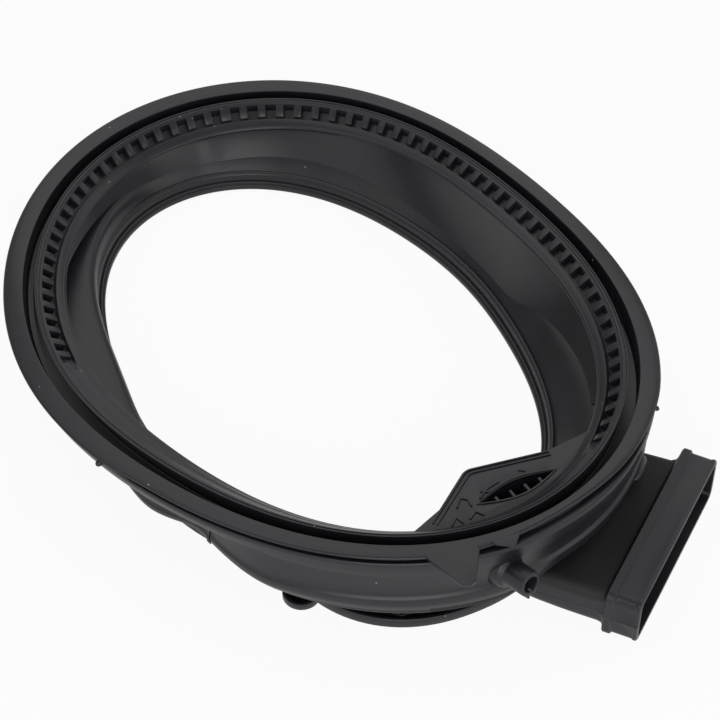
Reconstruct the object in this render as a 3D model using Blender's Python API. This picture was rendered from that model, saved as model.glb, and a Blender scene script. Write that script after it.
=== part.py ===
# Door gasket of a front-loading washer-dryer, one moulded piece of black rubber.
# It lies on its rear ring, front lip up. +X is the way that the drying-air duct points,
# +Z is up, and the origin is the middle of the space that it fills, on the surface below.
# Inside this file, angles go round the ring's own centre, from +X towards +Y.

import math

import bmesh
import bpy
from mathutils import Matrix, Vector

# Front lip: an oval with one blunter end, in a plane that leans a little
FRONT_RADIUS = 0.195
OVALITY = 0.026
OVAL_DIRECTION = math.radians(-31)
BLUNTNESS = 0.0042
BLUNT_DIRECTION = math.radians(-4)
SQUARENESS = 0.0019
SQUARE_DIRECTION = math.radians(52.5)
RIM_HEIGHT = 0.062
RIM_SLOPE_X = 0.063
RIM_SLOPE_Y = -0.058
LIP_WIDTH = 0.0123
LIP_THICKNESS = 0.0026
LIP_CROWN = 0.0007
LIP_EDGE_HEIGHT = 0.0010
LIP_EDGE_ROUNDING = 0.0008
# the lip is narrower on the lower side, and most of all beside the nozzle
LIP_TRIM = 0.0022
LIP_TRIM_FROM = math.radians(-108)
LIP_TRIM_TO = math.radians(4)
LIP_TRIM_EASE = math.radians(14)
LIP_NOTCH = 0.0046
LIP_NOTCH_DIRECTION = math.radians(-27)
LIP_NOTCH_HALF_ANGLE = math.radians(21)

# The face bead tips in and out as the rubber follows the oval
BEAD_TIP = 0.155
BEAD_TIP_DIRECTION = math.radians(-36)
BEAD_TIP_MEAN = -0.018

# Clamp groove, inner ring and sealing lip
CLAMP_GROOVE_WIDTH = 0.0059
CLAMP_GROOVE_DEPTH = 0.0072
CLAMP_GROOVE_DRAFT = 0.0008
RING_LAND = 0.0042
SEAL_REACH = 0.0365
SEAL_DROP = 0.0113
SEAL_EDGE = 0.0018
PANEL_CHANNEL_DEPTH = 0.0085
PANEL_CHANNEL_GAP = 0.0028
LEDGE_SETBACK = 0.0016
LEDGE_DRAFT = 0.0008
LEDGE_ROUNDING = 0.0018
LEDGE_TOP_ROUNDING = 0.0006

# Pockets in the inner ring
POCKET_COUNT_ALL_ROUND = 94
POCKET_REACH = 0.0072
POCKET_WIDTH_SHARE = 0.54
POCKET_DEPTH = 0.0030
POCKET_MARGIN_SHARE = 0.07
FIRST_POCKET = math.radians(-15)
LAST_POCKET = math.radians(229)

# Bellows wall between the front bead and the rear ring
WALL = 0.0028
BULGE_SHARE = 0.73
BULGE_OUT = 0.0058
BULGE_UP = -0.0115
BULGE_RADIUS = 0.008
BULGE_TOP = math.radians(38)
BULGE_BOTTOM = math.radians(-62)
LEDGE_HEIGHT = 0.0060
WALL_ROOT_INSET = 0.0014
WALL_ROOT_DROP = 0.0012
WALL_RECESS = 0.0165
ROOT_RECESS_SHARE = 0.8
FULL_FROM = math.radians(-90)
FULL_RISE = math.radians(20)
FULL_LENGTH = math.radians(87)
FULL_FALL = math.radians(42)
SWELL_OUT = 0.0050
SWELL_DIRECTION = math.radians(-97)
SWELL_HALF_ANGLE = math.radians(12)
# the bulge hangs lower below the nozzle
SAG = 0.0085
SAG_AT_TOP = 0.4
SAG_FROM = math.radians(-88)
SAG_FULL = math.radians(-46)
SAG_ENDS = math.radians(-38)
SAG_TO = math.radians(-26)

# Rear ring, an oval of its own with its own centre
REAR_RADIUS = FRONT_RADIUS - 0.0574
REAR_OVALITY = 0.0252
REAR_OVAL_DIRECTION = math.radians(-34.7)
REAR_BLUNTNESS = 0.0032
REAR_BLUNT_DIRECTION = math.radians(24)
REAR_SQUARENESS = 0.0040
REAR_SQUARE_DIRECTION = math.radians(-25.3)
REAR_CENTRE_X = -0.0029
REAR_CENTRE_Y = -0.0038
REAR_WIDTH = 0.0090
REAR_HEIGHT = 0.0082
REAR_GROOVE_DEPTH = 0.0026
REAR_GROOVE_WIDTH = 0.0032
REAR_BEAD = 0.0030
REAR_BEAD_STEP = 0.0018
REAR_BEAD_HIGH = 0.0008
REAR_BEAD_DIP = 0.0015
REAR_BEAD_SHOULDER = 0.0025
REAR_CHAMFER_WIDTH = 0.0012
REAR_CHAMFER_HEIGHT = 0.0015

# Drying-air duct
MOUTH_X = FRONT_RADIUS + 0.050
MOUTH_Y = -0.0498
MOUTH_HEIGHT = 0.0195
MOUTH_TWIST = math.radians(-2)
SLEEVE_LENGTH = 0.0197
SLEEVE_WIDTH = 0.119
SLEEVE_THICKNESS = 0.032
SLEEVE_CORNER = 0.0055
BAND_LENGTH = 0.0050
BAND_PROUD = 0.0010
BAND_CHAMFER = 0.0004
SLEEVE_CHAMFER = 0.0008
DUCT_WIDTH = 0.1105
DUCT_SHIFT = -0.0025
DUCT_THICKNESS = 0.0265
DUCT_CORNER = 0.0065
ROOT_X = FRONT_RADIUS - 0.060
ROOT_Y = -0.0555
ROOT_WIDTH = 0.099
ROOT_THICKNESS = 0.0235
ROOT_HEIGHT = 0.0225
PASSAGE_START_X = ROOT_X - 0.023
PASSAGE_STEP = 0.003

# Water inlet nozzle
NOZZLE_ANGLE = math.radians(-36.3)
NOZZLE_DISTANCE = FRONT_RADIUS + 0.021
NOZZLE_HEIGHT = RIM_HEIGHT - 0.008
NOZZLE_HEADING = math.radians(-23)
NOZZLE_RISE = math.radians(12)
NOZZLE_LENGTH = 0.0200
NOZZLE_RADIUS = 0.0073
NOZZLE_BORE_RADIUS = 0.0045
COLLAR_RADIUS = 0.0100
COLLAR_LENGTH = 0.0055
COLLAR_FLARE = 0.001
COLLAR_CHAMFER = 0.0015
NOZZLE_DRAFT = 0.0006
NOZZLE_CHAMFER = 0.0008

# Assembly tabs on the lip's edge
LARGE_TAB_DIRECTION = math.radians(-44.30)
LARGE_TAB_REACH = 0.0149
LARGE_TAB_TIP_RADIUS = 0.0052
LARGE_TAB_FROM = math.radians(-48.2)
LARGE_TAB_TO = math.radians(-40.6)
SMALL_TAB_DIRECTION = math.radians(-36.18)
SMALL_TAB_REACH = -0.0011
SMALL_TAB_TIP_RADIUS = 0.0022
SMALL_TAB_FROM = math.radians(-38.6)
SMALL_TAB_TO = math.radians(-34.4)
TAB_THICKNESS = 0.0024
TAB_SINK = 0.0002
TAB_TIP_ARC = math.radians(75)

# Lint guard flap inside the ring
FLAP_LEVEL = -0.0140
FLAP_THICKNESS = 0.0026
FLAP_CORNER_DIRECTION = math.radians(-31.69)
FLAP_CORNER_INSET = 0.0605
FLAP_CORNER_RADIUS = 0.009
FLAP_TAIL_SHARE = 3.2
FLAP_BEND_DIRECTION = math.radians(-16.54)
FLAP_BEND_INSET = 0.0492
FLAP_FROM = math.radians(-47.5)
FLAP_TO = math.radians(-7.0)
LEAF_FROM_DIRECTION = math.radians(-34.27)
LEAF_FROM_INSET = 0.0441
LEAF_TO_DIRECTION = math.radians(-19.81)
LEAF_TO_INSET = 0.0381
LEAF_INNER_BOW = 0.0050
LEAF_OUTER_BOW = 0.0055
POST_WIDTH = 0.0016
POST_COUNT = 2

# Rear flange lobe and the cup beside it
LOBE_RADIUS = REAR_RADIUS + 0.0634
LOBE_DIRECTION = math.radians(-38)
LOBE_HALF_ANGLE = math.radians(26)
LOBE_FALL = 0.027
LOBE_ROUNDNESS = 2.5
LOBE_HEIGHT = 0.0070
LOBE_RIM = 0.0030
LOBE_FLOOR = 0.0026
CUP_DISTANCE = REAR_RADIUS + 0.0436
CUP_ANGLE = math.radians(-66.4)
CUP_RADIUS = 0.0105
CUP_REACH = 0.0175
CUP_WALL = 0.0018
CUP_BOTTOM = 0.0166
CUP_TOP = 0.0212

STATIONS = POCKET_COUNT_ALL_ROUND
MEASURE_STEPS = 3600
ROUND_SIDES = 20
BULGE_STEPS = 4
OVERLAP = 0.004
CUT_PAST = 0.001


def clear_scene():
    for obj in list(bpy.data.objects):
        bpy.data.objects.remove(obj, do_unlink=True)


def rubber():
    material = bpy.data.materials.new("black_rubber")
    material.use_nodes = True
    shader = material.node_tree.nodes["Principled BSDF"]
    shader.inputs["Base Color"].default_value = (0.022, 0.022, 0.026, 1.0)
    shader.inputs["Roughness"].default_value = 0.42
    shader.inputs["Metallic"].default_value = 0.0
    return material


def front_radius(angle):
    radius = FRONT_RADIUS + OVALITY * math.cos(2 * (angle - OVAL_DIRECTION))
    radius += BLUNTNESS * math.cos(3 * (angle - BLUNT_DIRECTION))
    return radius + SQUARENESS * math.cos(4 * (angle - SQUARE_DIRECTION))


def rear_radius(angle):
    radius = REAR_RADIUS + REAR_CENTRE_X * math.cos(angle) + REAR_CENTRE_Y * math.sin(angle)
    radius += REAR_OVALITY * math.cos(2 * (angle - REAR_OVAL_DIRECTION))
    radius += REAR_BLUNTNESS * math.cos(3 * (angle - REAR_BLUNT_DIRECTION))
    return radius + REAR_SQUARENESS * math.cos(4 * (angle - REAR_SQUARE_DIRECTION))


def ease(angle, first, last):
    # 0 before the first angle, 1 after the last, smooth between them
    share = min(1.0, max(0.0, (angle - first) / (last - first)))
    return share * share * (3 - 2 * share)


def signed(angle):
    # the same direction between half a turn back and half a turn on
    return (angle + math.pi) % (2 * math.pi) - math.pi


def hump(angle, direction, half_angle):
    # 1 in the given direction, 0 from the half angle on
    return 1 - ease(abs(signed(angle - direction)), 0.0, half_angle)


def wall_recess(angle):
    # how far the wall stands back; it is full only on the side of the duct and the nozzle
    from_side = signed(angle - FULL_FROM)
    rise = ease(from_side, 0.0, FULL_RISE)
    fall = ease(from_side, FULL_LENGTH, FULL_LENGTH + FULL_FALL)
    return WALL_RECESS * (1 - rise * (1 - fall)) - SWELL_OUT * hump(angle, SWELL_DIRECTION, SWELL_HALF_ANGLE)


def bulge_sag(angle):
    side = signed(angle)
    return SAG * ease(side, SAG_FROM, SAG_FULL) * (1 - ease(side, SAG_ENDS, SAG_TO))


def lip_trim(angle):
    side = signed(angle)
    rise = ease(side, LIP_TRIM_FROM, LIP_TRIM_FROM + LIP_TRIM_EASE)
    fall = ease(side, LIP_TRIM_TO - LIP_TRIM_EASE, LIP_TRIM_TO)
    return LIP_TRIM * rise * (1 - fall) + LIP_NOTCH * hump(angle, LIP_NOTCH_DIRECTION, LIP_NOTCH_HALF_ANGLE)


def lip_radius(angle):
    return front_radius(angle) - lip_trim(angle)


def rim_level(x, y):
    return RIM_HEIGHT + RIM_SLOPE_X * x + RIM_SLOPE_Y * y


def ring_place(angle, share, out, up):
    # radius and height; share 1 rides with the lip's edge, share 0 with the rear hole and the floor
    tip = BEAD_TIP_MEAN + BEAD_TIP * math.cos(2 * (angle - BEAD_TIP_DIRECTION))
    tip *= share
    radius = share * front_radius(angle) + (1 - share) * rear_radius(angle)
    radius += out * math.cos(tip) - up * math.sin(tip)
    level = rim_level(radius * math.cos(angle), radius * math.sin(angle))
    return radius, share * level + out * math.sin(tip) + up * math.cos(tip)


def cone_up(out):
    # height of the inner ring's sloping face, which ends at the sealing lip
    start = -(LIP_WIDTH + CLAMP_GROOVE_WIDTH + RING_LAND)
    slope = (SEAL_DROP - LIP_CROWN) / (SEAL_REACH + start)
    return -LIP_CROWN - slope * (start - out)


def face_path(angle):
    # from the lip's outer edge over the face to the sealing lip; the pocket strip is its last row but one
    groove_out = -LIP_WIDTH
    groove_in = groove_out - CLAMP_GROOVE_WIDTH
    pocket_out = groove_in - RING_LAND
    pocket_in = pocket_out - POCKET_REACH
    return [
        (-lip_trim(angle), -LIP_EDGE_HEIGHT),
        (-lip_trim(angle) - LIP_EDGE_ROUNDING, 0.0),
        (groove_out, LIP_CROWN),
        (groove_out - CLAMP_GROOVE_DRAFT, -CLAMP_GROOVE_DEPTH),
        (groove_in + CLAMP_GROOVE_DRAFT, -CLAMP_GROOVE_DEPTH),
        (groove_in, LIP_CROWN),
        (pocket_out, cone_up(pocket_out)),
        (pocket_in, cone_up(pocket_in)),
        (-SEAL_REACH, cone_up(-SEAL_REACH)),
    ]


def wall_top_out(angle):
    return -LEDGE_SETBACK - WALL_ROOT_INSET - ROOT_RECESS_SHARE * wall_recess(angle)


def underside_path(angle):
    # back outwards under the sealing lip and the bead, to the root of the wall
    pocket_in = -(LIP_WIDTH + CLAMP_GROOVE_WIDTH + RING_LAND + POCKET_REACH)
    return [
        (-SEAL_REACH + 0.2 * SEAL_EDGE, cone_up(-SEAL_REACH) - SEAL_EDGE),
        (pocket_in + POCKET_DEPTH, cone_up(pocket_in) - POCKET_DEPTH - 0.8 * WALL),
        (wall_top_out(angle) - 2 * WALL, -CLAMP_GROOVE_DEPTH - WALL),
    ]


def rear_path():
    # over the rear ring's bead, across the floor and up its clamp groove
    groove_low = (REAR_HEIGHT - REAR_GROOVE_WIDTH) / 2
    groove_high = groove_low + REAR_GROOVE_WIDTH
    groove_in = REAR_WIDTH - REAR_GROOVE_DEPTH
    return [
        (REAR_BEAD + REAR_BEAD_STEP, REAR_HEIGHT + REAR_BEAD_HIGH),
        (REAR_BEAD, REAR_HEIGHT - REAR_BEAD_DIP),
        (REAR_BEAD / 2, REAR_HEIGHT - REAR_BEAD_SHOULDER),
        (0.0, REAR_BEAD),
        (0.0, REAR_CHAMFER_HEIGHT),
        (REAR_CHAMFER_WIDTH, 0.0),
        (REAR_WIDTH, 0.0),
        (REAR_WIDTH, groove_low),
        (groove_in, groove_low),
        (groove_in, groove_high),
        (REAR_WIDTH, groove_high),
    ]


def channel_path(angle):
    # the ledge and the channel that takes the machine's front panel, under the lip
    ledge_top = -LIP_THICKNESS - PANEL_CHANNEL_GAP
    return [
        (-LEDGE_SETBACK - LEDGE_DRAFT, ledge_top - LEDGE_HEIGHT),
        (-LEDGE_SETBACK, ledge_top - LEDGE_ROUNDING),
        (-LEDGE_SETBACK - LEDGE_TOP_ROUNDING, ledge_top),
        (-PANEL_CHANNEL_DEPTH, ledge_top),
        (-PANEL_CHANNEL_DEPTH, -LIP_THICKNESS),
        (-lip_trim(angle) - LIP_EDGE_ROUNDING, -LIP_THICKNESS),
    ]


def wall_outside(angle):
    # outside of the bellows wall, from the ledge down over the bulge to the rear ring
    top = -LIP_THICKNESS - PANEL_CHANNEL_GAP - LEDGE_HEIGHT - WALL_ROOT_DROP
    path = [ring_place(angle, 1, wall_top_out(angle), top)]
    for step in range(BULGE_STEPS):
        turn = BULGE_TOP + (BULGE_BOTTOM - BULGE_TOP) * step / (BULGE_STEPS - 1)
        out = BULGE_OUT - wall_recess(angle) + BULGE_RADIUS * math.cos(turn)
        sag = bulge_sag(angle) * (SAG_AT_TOP + (1 - SAG_AT_TOP) * step / (BULGE_STEPS - 1))
        path.append(ring_place(angle, BULGE_SHARE, out, BULGE_UP + BULGE_RADIUS * math.sin(turn) - sag))
    path.append(ring_place(angle, 0, REAR_WIDTH, REAR_HEIGHT))
    return path


def offset_inwards(path, distance):
    # the same path moved square to itself, towards the inside of the bellows
    moved = []
    for index, point in enumerate(path):
        here = Vector(point)
        normals = []
        for first, second in ((index - 1, index), (index, index + 1)):
            if first >= 0 and second < len(path):
                run = (Vector(path[second]) - Vector(path[first])).normalized()
                normals.append(Vector((run.y, -run.x)))
        mean = sum(normals, Vector((0.0, 0.0))).normalized()
        moved.append(tuple(here + mean * distance / mean.dot(normals[0])))
    return moved


def section(angle):
    outside = wall_outside(angle)
    points = [ring_place(angle, 1, *point) for point in face_path(angle) + underside_path(angle)]
    points += offset_inwards(outside, WALL)
    points += [ring_place(angle, 0, *point) for point in rear_path()]
    points += reversed(outside)
    return points + [ring_place(angle, 1, *point) for point in channel_path(angle)]


def station_angles():
    # equal steps along the pocket row, so that all the pockets come out alike on the oval
    row = LIP_WIDTH + CLAMP_GROOVE_WIDTH + RING_LAND + POCKET_REACH / 2
    angles = [2 * math.pi * step / MEASURE_STEPS for step in range(MEASURE_STEPS + 1)]
    points = [Vector(polar(front_radius(angle) - row, angle)) for angle in angles]
    lengths = [0.0]
    for before, after in zip(points, points[1:]):
        lengths.append(lengths[-1] + (after - before).length)
    wanted = [lengths[-1] * station / STATIONS for station in range(STATIONS)]
    result = []
    step = 0
    for length in wanted:
        while lengths[step + 1] <= length:
            step += 1
        share = (length - lengths[step]) / (lengths[step + 1] - lengths[step])
        result.append(angles[step] + share * (angles[step + 1] - angles[step]))
    return result


def ring_loop(angle, places):
    return [Vector((radius * math.cos(angle), radius * math.sin(angle), z)) for radius, z in places]


def has_pocket(first, last):
    middle = first + ((last - first) % (2 * math.pi)) / 2
    return 0 <= (middle - FIRST_POCKET) % (2 * math.pi) <= LAST_POCKET - FIRST_POCKET


def sink_pocket(bm, corners):
    # a frame of four faces round a recess with a flat bottom
    a, b, c, d = [corner.co for corner in corners]
    push = (c - a).cross(d - b).normalized() * POCKET_DEPTH
    if push.z > 0:
        push = -push
    side = (1 - POCKET_WIDTH_SHARE) / 2
    rim = []
    floor = []
    low = POCKET_MARGIN_SHARE
    high = 1 - POCKET_MARGIN_SHARE
    for along, across in ((side, low), (1 - side, low), (1 - side, high), (side, high)):
        near = a.lerp(b, along)
        far = d.lerp(c, along)
        place = near.lerp(far, across)
        rim.append(bm.verts.new(place))
        floor.append(bm.verts.new(place + push))
    for index in range(4):
        following = (index + 1) % 4
        bm.faces.new((corners[index], corners[following], rim[following], rim[index]))
        bm.faces.new((rim[index], rim[following], floor[following], floor[index]))
    bm.faces.new(floor)


def sweep_ring():
    # carries the section round the ring and sinks the pockets into one row of faces
    bm = bmesh.new()
    pocket_row = len(face_path(0.0)) - 3
    angles = station_angles()
    stations = [[bm.verts.new(place) for place in ring_loop(angle, section(angle))] for angle in angles]
    rows = len(stations[0])
    for station in range(STATIONS):
        following = (station + 1) % STATIONS
        here = stations[station]
        ahead = stations[following]
        pocketed = has_pocket(angles[station], angles[following])
        for row in range(rows):
            below = (row + 1) % rows
            corners = (here[row], ahead[row], ahead[below], here[below])
            if row == pocket_row and pocketed:
                sink_pocket(bm, corners)
            else:
                bm.faces.new(corners)
    return finish_mesh(bm, "gasket")


def finish_mesh(bm, name):
    bmesh.ops.recalc_face_normals(bm, faces=bm.faces[:])
    mesh = bpy.data.meshes.new(name)
    bm.to_mesh(mesh)
    bm.free()
    obj = bpy.data.objects.new(name, mesh)
    bpy.context.scene.collection.objects.link(obj)
    return obj


def loft(sections, name):
    # closed skin through loops of equally many points
    bm = bmesh.new()
    loops = [[bm.verts.new(point) for point in section] for section in sections]
    for here, ahead in zip(loops, loops[1:]):
        for index in range(len(here)):
            following = (index + 1) % len(here)
            bm.faces.new((here[index], here[following], ahead[following], ahead[index]))
    bm.faces.new(loops[0])
    bm.faces.new(loops[-1])
    return finish_mesh(bm, name)


def plate(outline, low, high, name, follows_rim=True):
    # prism over a plan outline, level with the leaning rim plane or with the floor
    def at(x, y, up):
        base = rim_level(x, y) if follows_rim else 0.0
        return Vector((x, y, base + up))
    bottom = [at(x, y, low) for x, y in outline]
    top = [at(x, y, high) for x, y in outline]
    return loft([bottom, top], name)


def combine(target, tool, operation):
    modifier = target.modifiers.new(operation.lower(), "BOOLEAN")
    modifier.operation = operation
    modifier.solver = "EXACT"
    modifier.object = tool
    depsgraph = bpy.context.evaluated_depsgraph_get()
    mesh = bpy.data.meshes.new_from_object(target.evaluated_get(depsgraph))
    target.modifiers.clear()
    target.data = mesh
    bpy.data.objects.remove(tool, do_unlink=True)


def fuse(target, tool):
    combine(target, tool, "UNION")


def cut(target, tool):
    combine(target, tool, "DIFFERENCE")


def polar(radius, angle):
    return (radius * math.cos(angle), radius * math.sin(angle))


def arc(centre, radius, first, last, steps):
    points = []
    for step in range(steps + 1):
        turn = first + (last - first) * step / steps
        points.append((centre[0] + radius * math.cos(turn), centre[1] + radius * math.sin(turn)))
    return points


def inner_core():
    # the open space inside the bellows, reaching halfway into the wall
    rows = []
    for station in range(STATIONS):
        angle = 2 * math.pi * station / STATIONS
        places = offset_inwards(wall_outside(angle), WALL / 2)
        top = ring_place(angle, 1, wall_top_out(angle) - 3 * WALL, -CLAMP_GROOVE_DEPTH - WALL)
        bottom = ring_place(angle, 0, REAR_BEAD + REAR_BEAD_STEP, REAR_HEIGHT + REAR_BEAD_HIGH / 2)
        rows.append(ring_loop(angle, [top] + places + [bottom]))
    return loft([list(level) for level in zip(*rows)], "inner_core")


def duct_section(x, width, thickness, corner, shift=0.0):
    # rounded rectangle across the duct; the duct shifts, rises and twists from root to mouth
    along = (x - ROOT_X) / (MOUTH_X - ROOT_X)
    centre_y = ROOT_Y + (MOUTH_Y - ROOT_Y) * along + shift
    centre_z = ROOT_HEIGHT + (MOUTH_HEIGHT - ROOT_HEIGHT) * along
    twist = MOUTH_TWIST * max(0.0, along)
    points = []
    for side_y, side_z, start in ((1, 1, 0), (-1, 1, 90), (-1, -1, 180), (1, -1, 270)):
        for step in range(4):
            turn = math.radians(start + 30 * step)
            across = side_y * (width / 2 - corner) + corner * math.cos(turn)
            up = side_z * (thickness / 2 - corner) + corner * math.sin(turn)
            y = centre_y + across * math.cos(twist) - up * math.sin(twist)
            z = centre_z + across * math.sin(twist) + up * math.cos(twist)
            points.append(Vector((x, y, z)))
    return points


def body_section(x, shrink=0.0):
    # the duct's body widens and deepens from its root to the stop band
    along = (x - ROOT_X) / (MOUTH_X - SLEEVE_LENGTH - ROOT_X)
    width = ROOT_WIDTH + (DUCT_WIDTH - ROOT_WIDTH) * along
    thickness = ROOT_THICKNESS + (DUCT_THICKNESS - ROOT_THICKNESS) * along
    return duct_section(x, width - 2 * shrink, thickness - 2 * shrink, DUCT_CORNER - shrink, DUCT_SHIFT)


def duct_outside():
    band_x = MOUTH_X - SLEEVE_LENGTH
    sleeve_x = band_x + BAND_LENGTH
    band_width = SLEEVE_WIDTH + 2 * BAND_PROUD
    band_thickness = SLEEVE_THICKNESS + 2 * BAND_PROUD
    sections = [
        body_section(ROOT_X),
        body_section(band_x),
        duct_section(band_x + BAND_CHAMFER, band_width, band_thickness, SLEEVE_CORNER),
        duct_section(sleeve_x, band_width, band_thickness, SLEEVE_CORNER),
        duct_section(sleeve_x + SLEEVE_CHAMFER, SLEEVE_WIDTH, SLEEVE_THICKNESS, SLEEVE_CORNER),
        duct_section(MOUTH_X, SLEEVE_WIDTH, SLEEVE_THICKNESS, SLEEVE_CORNER),
    ]
    return loft(sections, "duct")


def duct_passage():
    step_x = MOUTH_X - SLEEVE_LENGTH + WALL
    width = SLEEVE_WIDTH - 2 * WALL
    thickness = SLEEVE_THICKNESS - 2 * WALL
    corner = SLEEVE_CORNER - WALL
    sections = [
        body_section(PASSAGE_START_X, WALL),
        body_section(step_x, WALL),
        duct_section(step_x + PASSAGE_STEP, width, thickness, corner),
        duct_section(MOUTH_X + CUT_PAST, width, thickness, corner),
    ]
    return loft(sections, "passage")


def nozzle_place():
    heading = Vector((math.cos(NOZZLE_HEADING), math.sin(NOZZLE_HEADING), 0)) * math.cos(NOZZLE_RISE)
    heading.z = math.sin(NOZZLE_RISE)
    x, y = polar(NOZZLE_DISTANCE, NOZZLE_ANGLE)
    turn = heading.to_track_quat("Z", "Y").to_matrix().to_4x4()
    return Matrix.Translation(Vector((x, y, NOZZLE_HEIGHT))) @ turn


def turned(profile, place, name):
    # solid of revolution through (radius, height) pairs, on the place's own Z axis
    sections = []
    for radius, height in profile:
        loop = []
        for step in range(ROUND_SIDES):
            turn = 2 * math.pi * step / ROUND_SIDES
            loop.append(place @ Vector((radius * math.cos(turn), radius * math.sin(turn), height)))
        sections.append(loop)
    return loft(sections, name)


def nozzle_outside():
    profile = [
        (COLLAR_RADIUS + COLLAR_FLARE, -3 * OVERLAP),
        (COLLAR_RADIUS, COLLAR_LENGTH - COLLAR_CHAMFER),
        (NOZZLE_RADIUS + NOZZLE_DRAFT, COLLAR_LENGTH),
        (NOZZLE_RADIUS, NOZZLE_LENGTH - NOZZLE_CHAMFER),
        (NOZZLE_RADIUS - NOZZLE_CHAMFER, NOZZLE_LENGTH),
    ]
    return turned(profile, nozzle_place(), "nozzle")


def nozzle_bore():
    profile = [(NOZZLE_BORE_RADIUS, -5 * OVERLAP), (NOZZLE_BORE_RADIUS, NOZZLE_LENGTH + CUT_PAST)]
    return turned(profile, nozzle_place(), "bore")


def cup_outline(radius):
    # half round outside, with straight sides that run back into the wall
    centre = polar(CUP_DISTANCE, CUP_ANGLE)
    quarter = math.pi / 2
    rounding = arc(centre, radius, CUP_ANGLE - quarter, CUP_ANGLE + quarter, 12)
    back_x, back_y = polar(CUP_REACH, CUP_ANGLE)
    ends = [(rounding[side][0] - back_x, rounding[side][1] - back_y) for side in (-1, 0)]
    return rounding + ends


def cup_outside():
    return plate(cup_outline(CUP_RADIUS), CUP_BOTTOM, CUP_TOP, "cup", follows_rim=False)


def cup_inside():
    centre = polar(CUP_DISTANCE, CUP_ANGLE)
    outline = arc(centre, CUP_RADIUS - CUP_WALL, 0.0, 2 * math.pi, 24)[:-1]
    low = CUP_BOTTOM + CUP_WALL
    return plate(outline, low, CUP_TOP + CUT_PAST, "cup_inside", follows_rim=False)


def lip_point(direction, inset):
    # a point that keeps its distance from the lip's edge; a negative inset lies outside it
    return polar(front_radius(direction) - inset, direction)


def tab(tip, tip_radius, first, last, name):
    # tongue on the lip's edge: straight sides that run into a round tip
    inward = LIP_WIDTH / 2
    start = polar(front_radius(first) - inward, first)
    edge_start = polar(lip_radius(first), first)
    edge_end = polar(lip_radius(last), last)
    end = polar(front_radius(last) - inward, last)
    outward = math.atan2(tip[1], tip[0])
    rounding = arc(tip, tip_radius, outward - TAB_TIP_ARC, outward + TAB_TIP_ARC, 6)
    outline = [start, edge_start] + rounding + [edge_end, end]
    return plate(outline, -TAB_THICKNESS, -TAB_SINK, name)


def flap_plate():
    # a rounded triangle that grows inwards from the sealing lip
    seat = SEAL_REACH - OVERLAP
    outline = []
    for step in range(9):
        angle = FLAP_FROM + (FLAP_TO - FLAP_FROM) * step / 8
        outline.append(polar(front_radius(angle) - seat, angle))
    corner = lip_point(FLAP_CORNER_DIRECTION, FLAP_CORNER_INSET)
    outline.append(lip_point(FLAP_BEND_DIRECTION, FLAP_BEND_INSET))
    outline += arc(corner, FLAP_CORNER_RADIUS, math.radians(135), math.radians(180), 4)
    outline.append((corner[0] - FLAP_CORNER_RADIUS, corner[1] - FLAP_TAIL_SHARE * FLAP_CORNER_RADIUS))
    return plate(outline, FLAP_LEVEL - FLAP_THICKNESS, FLAP_LEVEL, "flap")


def leaf_ends():
    start = lip_point(LEAF_FROM_DIRECTION, LEAF_FROM_INSET)
    end = lip_point(LEAF_TO_DIRECTION, LEAF_TO_INSET)
    return Vector(start), Vector(end)


def leaf_outline():
    start, end = leaf_ends()
    across = Vector((-(end - start).y, (end - start).x)).normalized()
    points = []
    for step in range(9):
        share = step / 8
        points.append(start.lerp(end, share) + across * LEAF_INNER_BOW * math.sin(math.pi * share))
    for step in range(1, 8):
        share = 1 - step / 8
        points.append(start.lerp(end, share) - across * LEAF_OUTER_BOW * math.sin(math.pi * share))
    return [tuple(point) for point in points]


def leaf_cells():
    # the leaf-shaped opening, left in cells by the posts that cross it
    start, end = leaf_ends()
    low = FLAP_LEVEL - 2 * FLAP_THICKNESS
    leaf = plate(leaf_outline(), low, FLAP_LEVEL + CUT_PAST, "leaf")
    across = Vector((-(end - start).y, (end - start).x)).normalized()
    along = (end - start).normalized()
    for number in range(1, POST_COUNT + 1):
        middle = start.lerp(end, number / (POST_COUNT + 1))
        reach = across * 2 * LEAF_OUTER_BOW
        half = along * POST_WIDTH / 2
        corners = [middle - reach - half, middle - reach + half, middle + reach + half, middle + reach - half]
        post = plate([tuple(corner) for corner in corners], low - CUT_PAST, FLAP_LEVEL + 2 * CUT_PAST, "post")
        cut(leaf, post)
    return leaf


def lobe_edge(angle, inset):
    away = abs(angle - LOBE_DIRECTION) / LOBE_HALF_ANGLE
    return LOBE_RADIUS - LOBE_FALL * away ** LOBE_ROUNDNESS - inset


def lobe_outline(inset, seat):
    steps = 22
    first = LOBE_DIRECTION - LOBE_HALF_ANGLE
    angles = [first + 2 * LOBE_HALF_ANGLE * step / steps for step in range(steps + 1)]
    outside = [polar(lobe_edge(angle, inset), angle) for angle in angles]
    inside = [polar(rear_radius(angle) + seat, angle) for angle in reversed(angles)]
    return outside + inside


def lobe_outside():
    return plate(lobe_outline(0.0, REAR_WIDTH - OVERLAP), 0.0, LOBE_HEIGHT, "lobe", follows_rim=False)


def lobe_trough():
    outline = lobe_outline(LOBE_RIM, REAR_WIDTH + CUT_PAST)
    kept = outline[2:21] + outline[25:44]
    return plate(kept, LOBE_FLOOR, LOBE_HEIGHT + CUT_PAST, "trough", follows_rim=False)


def stand_on_base(obj):
    corners = [vertex.co for vertex in obj.data.vertices]
    middle_x = (min(c.x for c in corners) + max(c.x for c in corners)) / 2
    middle_y = (min(c.y for c in corners) + max(c.y for c in corners)) / 2
    lowest = min(c.z for c in corners)
    obj.data.transform(Matrix.Translation(Vector((-middle_x, -middle_y, -lowest))))


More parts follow.
